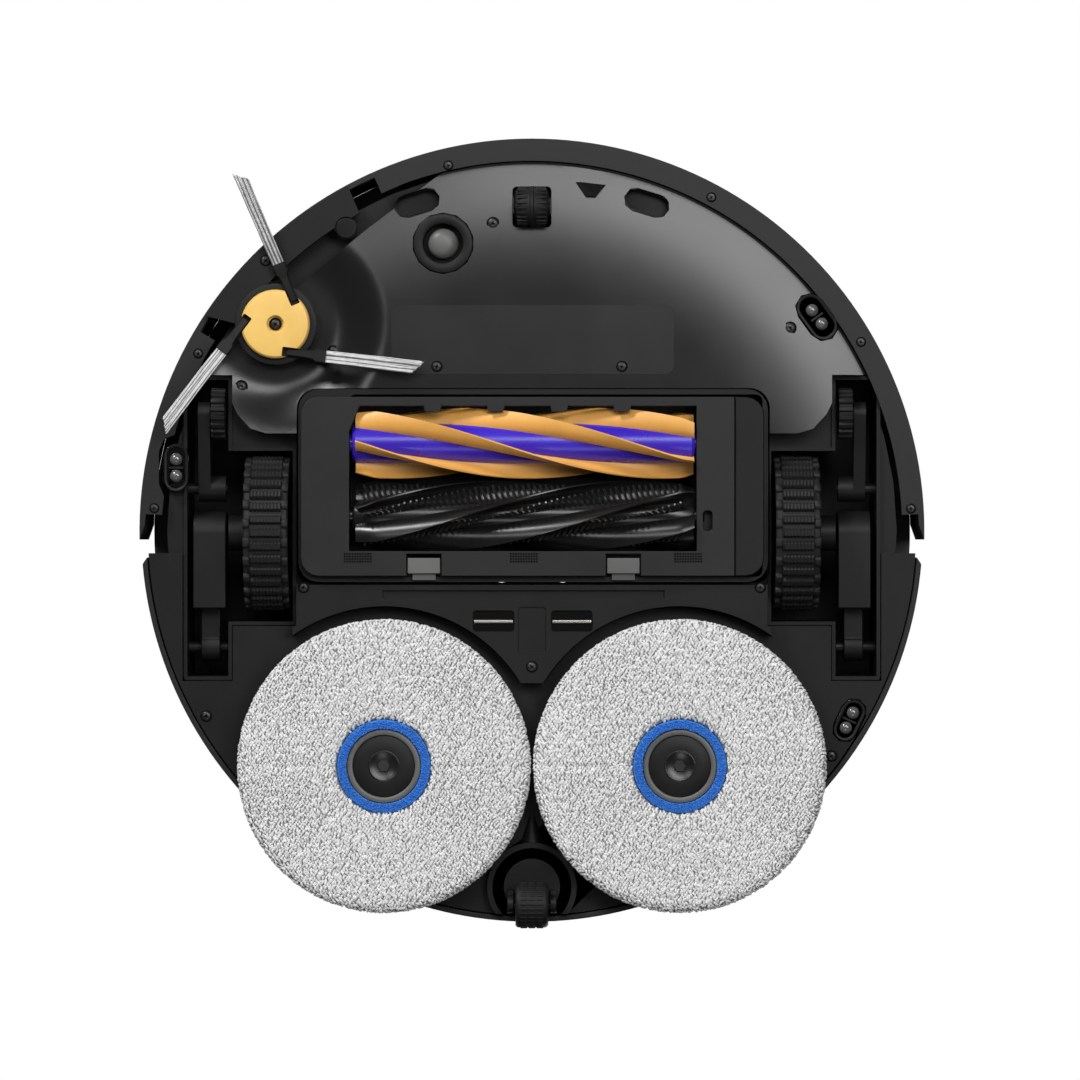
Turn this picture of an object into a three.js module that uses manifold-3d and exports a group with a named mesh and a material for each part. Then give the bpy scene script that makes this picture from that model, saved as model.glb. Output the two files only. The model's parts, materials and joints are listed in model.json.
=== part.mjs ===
// A robot vacuum and mop, built as separate pieces that fit and move like the real ones.
// Millimetres. The floor is z = 0, +Z is up, +Y is the front and +X is the machine's right.
import * as THREE from 'three';
import { mergeVertices } from 'three/addons/utils/BufferGeometryUtils.js';
import Module from 'manifold-3d';

const wasm = await Module();
wasm.setup();

// ---------- driving dimensions ----------
const BODY_R = 175; // outer radius of the bumper
const WALL_TOP = 80; // top edge of the side walls
const TURRET_H = 17; // height of the scanner cover above the top cover
const SHEET = 3; // thickness of covers and decks
const WALL = 2.4; // thickness of upright walls
const GAP = 0.4; // clearance between pieces that stay put
const PLAY = 0.5; // clearance around pieces that turn or slide

const COVER_Z = 12.5; // flat underside of the front cover
const COVER_RISE = 5.1; // how much higher its rim is
const GUARD_Z = 8.5; // underside of the roller guard
const SKIRT_Z = 21; // underside of the bumper lip
const DECK_Z = 23; // underside of the mop deck

const WHEEL_R = 35; // drive wheel
const WHEEL_W = 20;
const WHEEL_X = 118.1;
const WHEEL_Y = -0.9;
const WHEEL_UP = 5; // how far a wheel can rise

const ROLLER_R = 15.9; // over the fins
const ROLLER_CORE_R = 7;
const ROLLER_Z = 17.2; // height of the roller axes
const ROLLER_PITCH_Y = 22.9; // midway between the two rollers
const ROLLER_RIGHT = 79.8;
const ROLLER_LEFT = -72.4;

const MOP_R = 65.2; // mop pad
const MOP_X = 65.5 + (MOP_R - 65.2);
const MOP_Y = -104.1;
const MOP_T = 9; // pad thickness

const BRUSH_INSET = 28.7; // side brush hub: how far in from the edge, and its bearing
const BRUSH_ANGLE = 38.9;
const BRUSH_R = 72; // tips of its bristles
const BUMPER_TRAVEL = 3;

// ---------- sizes that follow ----------
const PLATE_Z = DECK_Z + SHEET + GAP; // underside of the chassis plate
const PLATE_TOP = PLATE_Z + 3.6;
const PLATE_R = BODY_R - 12;
const COVER_R = BODY_R - 10.5;
const BUMPER_IN = BODY_R - WALL;
const SHELL_R = BODY_R - 0.7;
const DECK_R = SHELL_R - WALL - PLAY;
const ROLLER_STEP = ROLLER_R + 0.2; // half the distance between the roller axes
const WELL_TOP = 2 * WHEEL_R + WHEEL_UP + 2;

// ---------- solids from three.js geometry ----------
function solidOf(geometry) {
  const bare = geometry.clone();
  bare.deleteAttribute('normal');
  bare.deleteAttribute('uv');
  const merged = mergeVertices(bare, 1e-4);
  const position = merged.attributes.position.array;
  const index = merged.index.array;
  const faces = [];
  for (let i = 0; i < index.length; i += 3) {
    const [a, b, c] = [index[i], index[i + 1], index[i + 2]];
    if (a !== b && b !== c && c !== a) faces.push(a, b, c);
  }
  const mesh = new wasm.Mesh({
    numProp: 3,
    vertProperties: new Float32Array(position),
    triVerts: new Uint32Array(faces),
  });
  return new wasm.Manifold(mesh);
}

function geometryOf(solid) {
  const mesh = solid.getMesh();
  const geometry = new THREE.BufferGeometry();
  const corners = new Float32Array(mesh.vertProperties);
  geometry.setAttribute('position', new THREE.BufferAttribute(corners, 3));
  geometry.setIndex(new THREE.BufferAttribute(new Uint32Array(mesh.triVerts), 1));
  geometry.computeVertexNormals();
  return geometry;
}

const join = (first, ...others) => others.reduce((sum, other) => sum.add(other), first);
const cut = (first, ...others) => others.reduce((rest, other) => rest.subtract(other), first);
const radians = THREE.MathUtils.degToRad;

// An upright prism of an outline between two heights.
function prism(outline, z0, z1, curveSegments = 2) {
  const geometry = new THREE.ExtrudeGeometry(outline, {
    depth: z1 - z0,
    bevelEnabled: false,
    curveSegments,
  });
  geometry.translate(0, 0, z0);
  return solidOf(geometry);
}

// A solid of revolution about an upright axis; points are [radius, height], bottom first.
function revolve(points, segments = 24, x = 0, y = 0) {
  const profile = points.map(([r, z]) => new THREE.Vector2(r, z));
  const geometry = new THREE.LatheGeometry(profile, segments);
  geometry.rotateX(Math.PI / 2);
  geometry.translate(x, y, 0);
  return solidOf(geometry);
}

const post = (r, x, y, z0, z1, segments = 14) =>
  revolve([[0, z0], [r, z0], [r, z1], [0, z1]], segments, x, y);

const ring = (r0, r1, z0, z1, segments = 24, x = 0, y = 0) =>
  revolve([[r0, z0], [r1, z0], [r1, z1], [r0, z1], [r0, z0]], segments, x, y);

// A cylinder lying along X between two places.
function drum(r, xA, xB, y, z, segments = 14) {
  const geometry = new THREE.CylinderGeometry(r, r, Math.abs(xB - xA), segments);
  geometry.rotateZ(Math.PI / 2);
  geometry.translate((xA + xB) / 2, y, z);
  return solidOf(geometry);
}

function block(xA, xB, yA, yB, zA, zB) {
  const geometry = new THREE.BoxGeometry(Math.abs(xB - xA), Math.abs(yB - yA), Math.abs(zB - zA));
  geometry.translate((xA + xB) / 2, (yA + yB) / 2, (zA + zB) / 2);
  return solidOf(geometry);
}

// ---------- outlines ----------
function outline(points) {
  return new THREE.Shape(points.map(([x, y]) => new THREE.Vector2(x, y)));
}

function roundedRect(x0, x1, y0, y1, r) {
  const shape = new THREE.Shape();
  shape.absarc(x1 - r, y0 + r, r, -Math.PI / 2, 0);
  shape.absarc(x1 - r, y1 - r, r, 0, Math.PI / 2);
  shape.absarc(x0 + r, y1 - r, r, Math.PI / 2, Math.PI);
  shape.absarc(x0 + r, y0 + r, r, Math.PI, 1.5 * Math.PI);
  return shape;
}

// A slot with round ends, about its centre, its long axis at an angle to X.
function pill(x, y, length, width, angle) {
  const r = width / 2;
  const reach = length / 2 - r;
  const a = radians(angle);
  const shape = new THREE.Shape();
  const [dx, dy] = [reach * Math.cos(a), reach * Math.sin(a)];
  shape.absarc(x + dx, y + dy, r, a - Math.PI / 2, a + Math.PI / 2);
  shape.absarc(x - dx, y - dy, r, a + Math.PI / 2, a + 1.5 * Math.PI);
  return shape;
}

// Part of a flat ring about the machine's centre, between two angles in degrees.
function sector(r0, r1, from, to, innerFrom = from, innerTo = to) {
  const shape = new THREE.Shape();
  shape.absarc(0, 0, r1, radians(from), radians(to), false);
  shape.absarc(0, 0, r0, radians(innerTo), radians(innerFrom), true);
  return shape;
}

const onCircle = (r, angle, x = 0, y = 0) => [
  x + r * Math.cos(radians(angle)),
  y + r * Math.sin(radians(angle)),
];

// A place on the underside, by its distance in from the body's edge and its bearing.
const fromEdge = (inset, angle) => onCircle(BODY_R - inset, angle);
const [BRUSH_X, BRUSH_Y] = fromEdge(BRUSH_INSET, BRUSH_ANGLE);

// ---------- the group ----------
const vacuum = new THREE.Group();

function add(name, solid, finish, parent = vacuum) {
  const [color, roughness, metalness = 0] = finish;
  const material = new THREE.MeshStandardMaterial({ color, roughness, metalness });
  const mesh = new THREE.Mesh(geometryOf(solid), material);
  mesh.name = name;
  parent.add(mesh);
  return mesh;
}

function groupAt(x, y, z) {
  const group = new THREE.Group();
  group.position.set(x, y, z);
  vacuum.add(group);
  return group;
}

const BLACK = [0x262626, 0.5];
const SATIN = [0x2e2e2e, 0.36];
const SHELL = [0x383838, 0.45];
const RUBBER = [0x1c1c1c, 0.75];
const GLOSS = [0x0c0c0e, 0.12];
const GREY = [0x5f5f5c, 0.5];
const STEEL = [0xb8b8b8, 0.3, 0.9];
const ORANGE = [0xe8b060, 0.5];
const VIOLET = [0x3a2ab4, 0.45];
const YELLOW = [0xf5bd5c, 0.5];
const BLUE = [0x2e78d6, 0.7];
const TERRY = [0xd2d2d2, 0.95];
const BRISTLE = [0xb9b9b9, 0.6];
const GREEN = [0x1f5a38, 0.5];
const CLEAR = [0x8fa6b0, 0.1];

const TOP_Z = WALL_TOP + 6;
const TURRET_TOP = TOP_Z + TURRET_H;
const BIG = 48; // segments on the machine's large circles
const ARC = 13; // half the segments on a long arc of an outline
const SIDES = [['right', 1], ['left', -1]];

// ---------- wheel wells ----------
const WELL = { inX: 106.8, midX: 136, outX: 153.9, front: 67.5, back: -64.9 };
const WELL_SKIN = 1.6;
const WELL_LOW = SKIRT_Z + 3.4; // lower edge of the well walls, above the bumper lip
const PIN_R = 2.5; // fixed pins that the gearboxes and legs swing on
const WHEEL_BAY = { front: WHEEL_Y + WHEEL_R + 1.7, back: WHEEL_Y - WHEEL_R - 4.5 };

// The hollow that a wheel and a climbing leg move in, grown on every side by a margin.
function wellHollow(side, grow, z0, z1) {
  const wheelBay = block(
    side * (WELL.inX - grow), side * (WELL.midX + grow),
    WHEEL_BAY.back - grow, WHEEL_BAY.front + grow, z0, z1);
  const legBay = block(
    side * (WELL.midX - 0.5 - grow), side * (WELL.outX + grow),
    WELL.back - grow, WELL.front + grow, z0, z1);
  return wheelBay.add(legBay);
}

const SWING = { y: -52, z: WHEEL_R + 5, r: 6.5 };
const BOX = { in: 136.7, out: 151.4, y0: -34.5, y1: WHEEL_Y + 10, t: 9 };
const LEG = { y: 19, z: 34, barIn: 143.7, barOut: 149, r: 6 };
const CLIMB = { x: 139.9, y: 52.4, z: 27, r: 11.5, w: 6.4 };
const SPINDLE = { r: 6, sleeveR: 12 };
const FORK = { discR: 12.6, stemR: 4, stemTop: 8, cheekX: 8.2, cheekT: 2.6, neckY: 6 };

// ---------- roller recess ----------
const RECESS = { right: 104.6, left: -105.7, front: 63.5, back: -23.1, corner: 9 };
const GUARD = { right: 102.6, left: -103, front: 59.5, back: -20 };

// ---------- side brush arm ----------
const ARM_Z = COVER_Z + 1.5;
const ARM_TOP = SKIRT_Z - 0.6;
const ARM_IN = BODY_R - 14.2;
const ARM_OUT = BODY_R - 1.2;
const PIVOT_ANGLE = 58.5;
const [PIVOT_X, PIVOT_Y] = fromEdge(17, PIVOT_ANGLE);
const PIVOT_R = 2.6;
const PIN_HEAD_R = 4.6;
const SLOT = { middle: 50, depth: 14, half: 26 };

// Everything outside one long arc: the crescent beside the arm, between cover and bumper.
function armSlot() {
  const near = COVER_R - SLOT.depth;
  const chord = near - COVER_R * Math.cos(radians(SLOT.half));
  const back = (COVER_R ** 2 - near ** 2) / (2 * chord);
  const [x, y] = onCircle(-back, SLOT.middle);
  return cut(
    prism(sector(COVER_R / 2, BODY_R, SLOT.middle - SLOT.half, SLOT.middle + SLOT.half), 0, PLATE_Z),
    post(near + back, x, y, -1, PLATE_Z + 1, 160));
}

// ---------- rear caster ----------
const CASTER = { r: 10.3, w: 14.8, trail: 7.4, y: -(BODY_R - 16.3) };
const CASTER_BAY_R = 17.6;

// ---------- front caster ----------
const NOSE = { r: 8.9, w: 14.6, y: BODY_R - 30.9, slotX: 8.7, slotY: 9.2 };

// ---------- chassis ----------
function makeChassis() {
  let body = post(PLATE_R, 0, 0, PLATE_Z, PLATE_TOP, BIG);
  body = body.add(ring(PLATE_R - WALL, PLATE_R, PLATE_Z + 0.6, WALL_TOP - 1, BIG));
  const limit = post(BODY_R - WALL - BUMPER_TRAVEL - 1, 0, 0, 0, WALL_TOP, BIG);
  for (const [, side] of SIDES) {
    const box = wellHollow(side, WELL_SKIN, WELL_LOW, WELL_TOP + WELL_SKIN).intersect(limit);
    body = body.add(box);
  }
  for (const [, side] of SIDES) {
    body = body.subtract(wellHollow(side, 0, 0, WELL_TOP));
    body = body.subtract(post(SPINDLE.sleeveR + PLAY, side * MOP_X, MOP_Y, 0, PLATE_TOP + 1));
  }
  for (const [, side] of SIDES) {
    for (const pivot of [SWING, LEG]) {
      body = body.add(drum(PIN_R, side * (WELL.midX + 0.4), side * (WELL.outX + 1), pivot.y, pivot.z));
    }
  }
  const recess = roundedRect(RECESS.left - GAP, RECESS.right + GAP, RECESS.back, RECESS.front, 6);
  const stem = post(FORK.stemR + PLAY, 0, CASTER.y, 0, PLATE_TOP + FORK.stemTop + 1);
  const pinHole = post(PIVOT_R + GAP, PIVOT_X, PIVOT_Y, 0, PLATE_TOP + 1);
  return cut(body, prism(recess, 0, PLATE_TOP + 1), stem, pinHole);
}

// ---------- front cover ----------
const COVER_FLAT_R = 95;

// The cover's bowed underside, raised by an offset, filled up to the chassis plate.
function coverBody(raise, rim, step) {
  const points = [[0, COVER_Z + raise]];
  const steps = 4;
  for (let i = 0; i <= steps; i += 1) {
    const t = i / steps;
    const r = COVER_FLAT_R + (rim - COVER_FLAT_R) * t;
    points.push([r, COVER_Z + COVER_RISE * t ** 2 + raise]);
  }
  if (step) {
    const shoulder = SKIRT_Z - 0.4;
    points.push([rim, shoulder], [rim - step, shoulder], [rim - step, PLATE_Z - GAP]);
  } else {
    points.push([rim, PLATE_Z]);
  }
  points.push([0, points.at(-1)[1]]);
  return revolve(points, BIG);
}

// The bowl that the side brush turns in.
const BOWL_FLOOR_R = 26;
function bowl(grow) {
  const top = SKIRT_Z - 0.2 + grow;
  return revolve([
    [0, 0], [50 + grow, 0], [50 + grow, COVER_Z + grow * 0.6], [42 + grow, COVER_Z + 1.2 + grow],
    [32 + grow * 0.6, COVER_Z + 5 + grow], [BOWL_FLOOR_R, top], [0, top],
  ], 28, BRUSH_X, BRUSH_Y);
}

function coverPlan() {
  const corner = [149.8, 69.3];
  const angle = Math.asin(corner[1] / (COVER_R + 1));
  const shape = new THREE.Shape();
  shape.absarc(0, 0, COVER_R + 1, angle, Math.PI - angle, false);
  const edge = 43.4; // where the cover ends beside the roller recess
  const flank = [[134.7, 67.5], [134.7, 59.5], [131, 52], [125, 45.5], [118, edge]];
  const side = (s) => flank.map(([x, y]) => [s * x, y]);
  side(-1).forEach(([x, y]) => shape.lineTo(x, y));
  shape.lineTo(RECESS.left, edge);
  const r = RECESS.corner;
  shape.absarc(RECESS.left + r, RECESS.front - r, r, Math.PI, Math.PI / 2, true);
  shape.absarc(RECESS.right - r, RECESS.front - r, r, Math.PI / 2, 0, true);
  shape.lineTo(RECESS.right, edge);
  side(1).reverse().forEach(([x, y]) => shape.lineTo(x, y));
  return shape;
}

const CLIFF_SLOTS = [[20.4, 70.7, -17], [20.4, 109.3, 17]]; // inset, bearing, turn
// name, inset, bearing, turn, length, width, lowest and highest
const CLIFFS = [
  ['cliff_sensor_front_left', 16.4, 143.1, 54, 23, 13, COVER_Z + 3.5, SKIRT_Z - GAP],
  ['cliff_sensor_right', 13.9, 10.1, 90, 22, 11.5, SKIRT_Z - GAP, SKIRT_Z + 3],
  ['cliff_sensor_rear_left', 10.1, 210.8, -64.7, 20, 11, DECK_Z - 0.8, PLATE_Z - GAP],
];
const CARPET = { x: 39.5, y: 127.9, ringR: 13.4, grooveR: 8.7, domeR: 6.8 };
const FACET = [[-13.9, 18.3], [-37.5, 15.2], [-28.4, 4.5], [-24.4, 4.5]].map(([x, y]) => [x, NOSE.y + y]);
const LABEL = { x0: -63.1, x1: 62.6, y0: 69.7, y1: 100.4, r: 4, depth: 0.6 };

// The hole for a cliff sensor, longer and wider than it by an allowance.
function cliffHole([, inset, bearing, turn, length, width], longer, wider) {
  return prism(pill(...fromEdge(inset, bearing), length + longer, width + wider, turn), 0, PLATE_Z);
}

function makeFrontCover() {
  const outer = cut(coverBody(0, COVER_R, 4), bowl(0));
  const inner = cut(coverBody(SHEET, COVER_R - 4 - WALL, 0), bowl(SHEET));
  let cover = cut(outer, inner).intersect(prism(coverPlan(), 0, PLATE_Z, ARC));
  cover = cut(cover, armSlot());
  for (const [, side] of SIDES) {
    cover = cut(cover, wellHollow(side, WELL_SKIN + GAP, 0, PLATE_Z));
  }
  const nose = roundedRect(-NOSE.slotX, NOSE.slotX, NOSE.y - NOSE.slotY, NOSE.y + NOSE.slotY, 2);
  cover = cut(cover, prism(nose, 0, PLATE_Z));
  cover = cut(cover, post(CARPET.ringR + GAP, CARPET.x, CARPET.y, 0, PLATE_Z));
  cover = cut(cover, prism(outline(FACET), 0, COVER_Z + 5));
  const label = roundedRect(LABEL.x0, LABEL.x1, LABEL.y0, LABEL.y1, LABEL.r);
  cover = cut(cover, prism(label, 0, COVER_Z + LABEL.depth));
  for (const [inset, bearing, turn] of CLIFF_SLOTS) {
    cover = cut(cover, prism(pill(...fromEdge(inset, bearing), 21, 10.7, turn), 0, PLATE_Z));
  }
  return cut(cover, cliffHole(CLIFFS[0], 2 * GAP, 2 * GAP));
}

// ---------- mid plate and mop deck ----------
const MID_Y = RECESS.back - 0.8;
const MID_HALF = 106.5;
const TONGUE_R = MOP_R + 5.4; // edge of the mid plate around each mop
function midPlan(grow) {
  const r = TONGUE_R - grow;
  const half = MID_HALF + grow;
  const shape = new THREE.Shape();
  const outer = Math.acos((half - MOP_X) / r);
  const inner = Math.acos((5 + grow - MOP_X) / r);
  shape.absarc(MOP_X, MOP_Y, r, outer, inner, false);
  shape.absarc(-MOP_X, MOP_Y, r, Math.PI - inner, Math.PI - outer, false);
  shape.lineTo(-half, MID_Y + grow);
  shape.lineTo(half, MID_Y + grow);
  return shape;
}

const CONTACTS = [[26.2, 7.9], [-8.6, -26.9]];
const CONTACT_Y = [-44.6, -35.4];

function makeMidPlate() {
  const plate = prism(midPlan(0), COVER_Z + 0.5, PLATE_Z - GAP, 8);
  const pocket = prism(midPlan(-WALL), COVER_Z + 0.5 + SHEET, PLATE_Z, 8);
  const slot = block(-58.9, 66.5, -29.9, -26.4, 0, COVER_Z + 2);
  const panel = prism(roundedRect(-6.1, 6.1, -54.2, -33.8, 1.5), 0, COVER_Z + 1.1);
  const contacts = CONTACTS.map(([right, left]) =>
    prism(roundedRect(left, right, ...CONTACT_Y, 1.5), 0, COVER_Z + 2.3));
  const wells = [1, -1].map((side) => wellHollow(side, WELL_SKIN + GAP, 0, PLATE_Z));
  return cut(plate, pocket, slot, panel, ...contacts, ...wells);
}

const REAR_EDGE = -9.9; // where the rear shell and deck begin
function makeMopDeck() {
  const half = new THREE.Shape();
  const from = Math.asin(REAR_EDGE / DECK_R);
  half.absarc(0, 0, DECK_R, Math.PI - from, 2 * Math.PI + from, false);
  let deck = prism(half, DECK_Z, DECK_Z + SHEET, ARC);
  const cowl = ring(CASTER_BAY_R, CASTER_BAY_R + WALL, DECK_Z - 6, DECK_Z + 1, 40, 0, CASTER.y);
  deck = deck.add(cowl.intersect(post(DECK_R, 0, 0, 0, PLATE_Z, BIG)));
  const casterBay = post(CASTER_BAY_R, 0, CASTER.y, 0, PLATE_Z, 40);
  deck = cut(deck, prism(midPlan(GAP), 0, PLATE_Z, 8), casterBay);
  deck = cut(deck, block(RECESS.left - 1, RECESS.right + 1, RECESS.back - 1, 0, 0, PLATE_Z));
  for (const [, side] of SIDES) {
    deck = cut(deck, wellHollow(side, WELL_SKIN + GAP, 0, PLATE_Z));
    deck = cut(deck, post(SPINDLE.sleeveR + PLAY, side * MOP_X, MOP_Y, 0, PLATE_Z));
    const strip = block(side * (RECESS.right - 2), side * (WELL.inX + 1), MID_Y, 0, 0, PLATE_Z);
    deck = cut(deck, strip);
  }
  return cut(deck, cliffHole(CLIFFS[2], 2 * GAP, 2 * GAP));
}

// ---------- bumper and rear shell ----------
const BUMPER_END = -3.8;
const BUMPER_TOP = WALL_TOP - 0.6;
function makeBumper() {
  const end = THREE.MathUtils.radToDeg(Math.asin(BUMPER_END / BODY_R));
  const wall = prism(sector(BUMPER_IN, BODY_R, end, 180 - end, 1, 179), SKIRT_Z, BUMPER_TOP, ARC);
  const lip = prism(sector(COVER_R + 0.6, BODY_R - 1, 2.5, 177.5), SKIRT_Z, SKIRT_Z + 2.6, ARC);
  const notch = prism(sector(COVER_R - 5, BUMPER_IN, 31, 66), 0, SKIRT_Z + 4, 6);
  const sensor = cliffHole(CLIFFS[1], 2 * BUMPER_TRAVEL + 2, 4);
  return cut(wall.add(cut(lip, sensor)), notch);
}

const WINDOW = { z0: 44, z1: 64, half: 24, proud: 1.4 };
function makeWindow() {
  const strip = sector(BODY_R + 0.3, BODY_R + WINDOW.proud, 90 - WINDOW.half, 90 + WINDOW.half);
  return prism(strip, WINDOW.z0, WINDOW.z1, 8);
}

const SHELL_END = 14.7; // how far behind the wheels' line the rear shell begins
function makeRearShell() {
  const end = THREE.MathUtils.radToDeg(Math.asin(SHELL_END / SHELL_R));
  const shape = sector(SHELL_R - WALL, SHELL_R, 180 + end, 360 - end, 180 + end - 1, 361 - end);
  return prism(shape, SKIRT_Z + 0.5, BUMPER_TOP, ARC);
}

// ---------- top ----------
const TOP_R = BODY_R - 2.4;
const TURRET = { y: -72, r: 42, wall: 2.4 };
const ROTOR = { r: 26, shaft: 5 };
const LID = { r: BODY_R - 27, hinge: -5, t: 2.6 };
const SEAT_T = SHEET + LID.t - 0.2; // depth of the top cover under the lid
const BUTTONS = [['power_button', -14], ['dock_button', 14]];
const BUTTON = { y: -17, r: 6, travel: 1 };

function lidPlan(grow) {
  const r = LID.r + grow;
  const y = LID.hinge - grow;
  const from = Math.asin(y / r);
  const shape = new THREE.Shape();
  shape.absarc(0, 0, r, from, Math.PI - from, false);
  return shape;
}

function makeTopCover() {
  const skin = revolve([
    [0, TOP_Z - SEAT_T], [TOP_R - 8, TOP_Z - SEAT_T], [TOP_R - 8, WALL_TOP], [TOP_R, WALL_TOP],
    [TOP_R, WALL_TOP + 2], [TOP_R - 4, TOP_Z - 1], [TOP_R - 10, TOP_Z], [0, TOP_Z],
  ], BIG);
  const seat = prism(lidPlan(PLAY), TOP_Z - LID.t - 0.3, TOP_Z + 1, ARC);
  const bay = prism(roundedRect(BIN.x0 - 1, BIN.x1 + 1, BIN.y0 + 6, BIN.y1 + 1, 6), 0, TOP_Z);
  const holes = BUTTONS.map(([, x]) => post(BUTTON.r + PLAY, x, BUTTON.y, 0, TOP_Z + 1, 20));
  const scanner = post(ROTOR.shaft + PLAY, 0, TURRET.y, 0, TOP_Z + 1);
  const hollow = new THREE.Shape();
  hollow.absarc(0, 0, TOP_R - 12, Math.PI + 0.08, 2 * Math.PI - 0.08, false);
  return cut(skin, seat, bay, scanner, prism(hollow, 0, TOP_Z - SHEET, ARC), ...holes);
}

function makeLid() {
  const panel = prism(lidPlan(0), TOP_Z - LID.t + 0.2, TOP_Z, ARC);
  const grip = prism(pill(0, LID.r - 10, 34, 9, 0), TOP_Z - 1, TOP_Z + 1);
  return cut(panel, grip);
}

function makeTurret() {
  const { r, wall } = TURRET;
  const base = TOP_Z + 0.3;
  const roof = TURRET_TOP;
  const shell = revolve([
    [r - wall, base], [r, base], [r, roof - 3], [r - 3, roof], [0, roof], [0, roof - wall],
    [r - wall, roof - wall], [r - wall, base],
  ], 28, 0, TURRET.y);
  const slots = [];
  const posts = 6;
  for (let i = 0; i < posts; i += 1) {
    const a = (360 / posts) * i;
    const [x, y] = onCircle(r, a, 0, TURRET.y);
    const cutter = block(-wall * 3, wall * 3, -r * 0.46, r * 0.46, base + 3.5, roof - 5.2);
    slots.push(cutter.rotate([0, 0, a]).translate([x, y, 0]));
  }
  return cut(shell, ...slots);
}

// ---------- inside ----------
const BIN = { x0: -66, x1: 66, y0: -4, y1: 98, z0: 46, z1: WALL_TOP - 1 };
const CHUTE = { x: 26, y0: 24, y1: 48 };

function makeBin() {
  const { x0, x1, y0, y1, z0, z1 } = BIN;
  const shell = cut(
    block(x0, x1, y0, y1, z0, z1),
    block(x0 + 2, x1 - 2, y0 + 2, y1 - 2, z0 + 2, z1 + 1));
  return cut(shell, block(-CHUTE.x, CHUTE.x, CHUTE.y0, CHUTE.y1, z0 - 1, z0 + 3));
}

const WELL_ROOF = ROLLER_Z + ROLLER_R + 4;
function makeRollerWell() {
  const [x0, x1] = [RECESS.left + 2 * GAP, RECESS.right - 2 * GAP];
  const [y0, y1] = [RECESS.back + GAP, RECESS.front - GAP];
  const outer = prism(roundedRect(x0, x1, y0, y1, RECESS.corner), GUARD_Z + 4.6, WELL_ROOF + WALL);
  const room = prism(roundedRect(x0 + WALL, ROLLER_RIGHT + 1.5, y0 + WALL, y1 - WALL, 3), 0, WELL_ROOF);
  const sockets = [1, -1].map((s) =>
    drum(4 + PLAY, ROLLER_RIGHT, ROLLER_RIGHT + 4, ROLLER_PITCH_Y + s * ROLLER_STEP, ROLLER_Z));
  const inlet = block(-CHUTE.x, CHUTE.x, CHUTE.y0, CHUTE.y1, 0, WELL_ROOF + WALL + 1);
  return cut(outer, room, inlet, ...sockets);
}

function makeInside() {
  const plate = PLATE_TOP + GAP;
  add('battery', prism(roundedRect(-60, 60, 102, 142, 3), plate, 68), BLACK);
  add('side_brush_motor', post(9.5, 75, 124, plate, 56), STEEL);
  const fan = revolve([
    [0, plate], [23, plate], [25, plate + 3], [25, 58], [16, 66], [16, 71], [9, 71], [9, 60], [0, 60],
  ], 24, -97, 92);
  add('suction_fan', fan, BLACK);
  const boardZ = WALL_TOP - 12;
  const board = block(-88, 88, -60, -30, boardZ, boardZ + 1.6);
  const chips = [-60, -20, 30, 62].map((x) => block(x - 9, x + 9, -52, -36, boardZ + 1.4, boardZ + 4));
  add('main_board', join(board, ...chips), GREEN);
  const tank = prism(sector(95, PLATE_R - WALL - 2, 222, 318), WALL_TOP - 17, WALL_TOP - 2, 8);
  add('water_tank', tank, CLEAR);
  add('dust_bin', makeBin(), CLEAR);
  const filter = roundedRect(BIN.x0 + 4, BIN.x0 + 34, BIN.y0 + 60, BIN.y1 - 4, 3);
  add('bin_filter', prism(filter, BIN.z0 + 2.3, BIN.z0 + 20), TERRY);
}

// ---------- rollers, guard and latches ----------
const FINS = 5;
const TWIST = 180; // turn of the fins over the roller's length
const FIN_TAPER = 0.77; // how far the fins draw in at the bearing end

// The fins' section: a sleeve with five blades, twisted along the roller.
function finSleeve(length, hand) {
  const shape = new THREE.Shape();
  const sleeve = ROLLER_CORE_R + 2.2;
  const points = [];
  for (let i = 0; i < FINS; i += 1) {
    const a = (360 / FINS) * i;
    points.push(onCircle(sleeve, a - 9), onCircle(ROLLER_R, a - 3.2), onCircle(ROLLER_R, a + 3.2));
    points.push(onCircle(sleeve, a + 9), onCircle(sleeve, a + 36));
  }
  shape.setFromPoints(points.map(([x, y]) => new THREE.Vector2(x, y)));
  const bore = new THREE.Path();
  bore.absarc(0, 0, ROLLER_CORE_R + 0.9, 0, 2 * Math.PI, true);
  shape.holes.push(bore);
  const geometry = new THREE.ExtrudeGeometry(shape, {
    depth: length,
    bevelEnabled: false,
    steps: 9,
    curveSegments: 7,
  });
  const place = geometry.attributes.position;
  for (let i = 0; i < place.count; i += 1) {
    const turn = radians(hand * TWIST * (place.getZ(i) / length));
    const beyond = Math.hypot(place.getX(i), place.getY(i)) > sleeve + 1;
    const taper = beyond && place.getZ(i) > length - 1 ? FIN_TAPER : 1;
    const [x, y] = [place.getX(i) * taper, place.getY(i) * taper];
    place.setX(i, x * Math.cos(turn) - y * Math.sin(turn));
    place.setY(i, x * Math.sin(turn) + y * Math.cos(turn));
  }
  return solidOf(geometry);
}

function makeRoller(name, y, hand, coreFinish, finFinish) {
  const group = groupAt(ROLLER_LEFT, y, ROLLER_Z);
  group.rotation.y = Math.PI / 2;
  const length = ROLLER_RIGHT - ROLLER_LEFT;
  const core = revolve([
    [0, -3], [4, -3], [4, 0], [ROLLER_CORE_R, 0], [ROLLER_CORE_R, length], [4, length],
    [4, length + 3], [0, length + 3],
  ], 20);
  const fins = finSleeve(length - 4, hand).translate([0, 0, 2]);
  if (coreFinish) {
    add(`${name}_core`, core, coreFinish, group);
    add(`${name}_fins`, fins, finFinish, group);
  } else {
    const bond = post(ROLLER_CORE_R + 1, 0, 0, 4, length - 4, 20);
    add(name, join(core, bond, fins), finFinish, group);
  }
}

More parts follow.
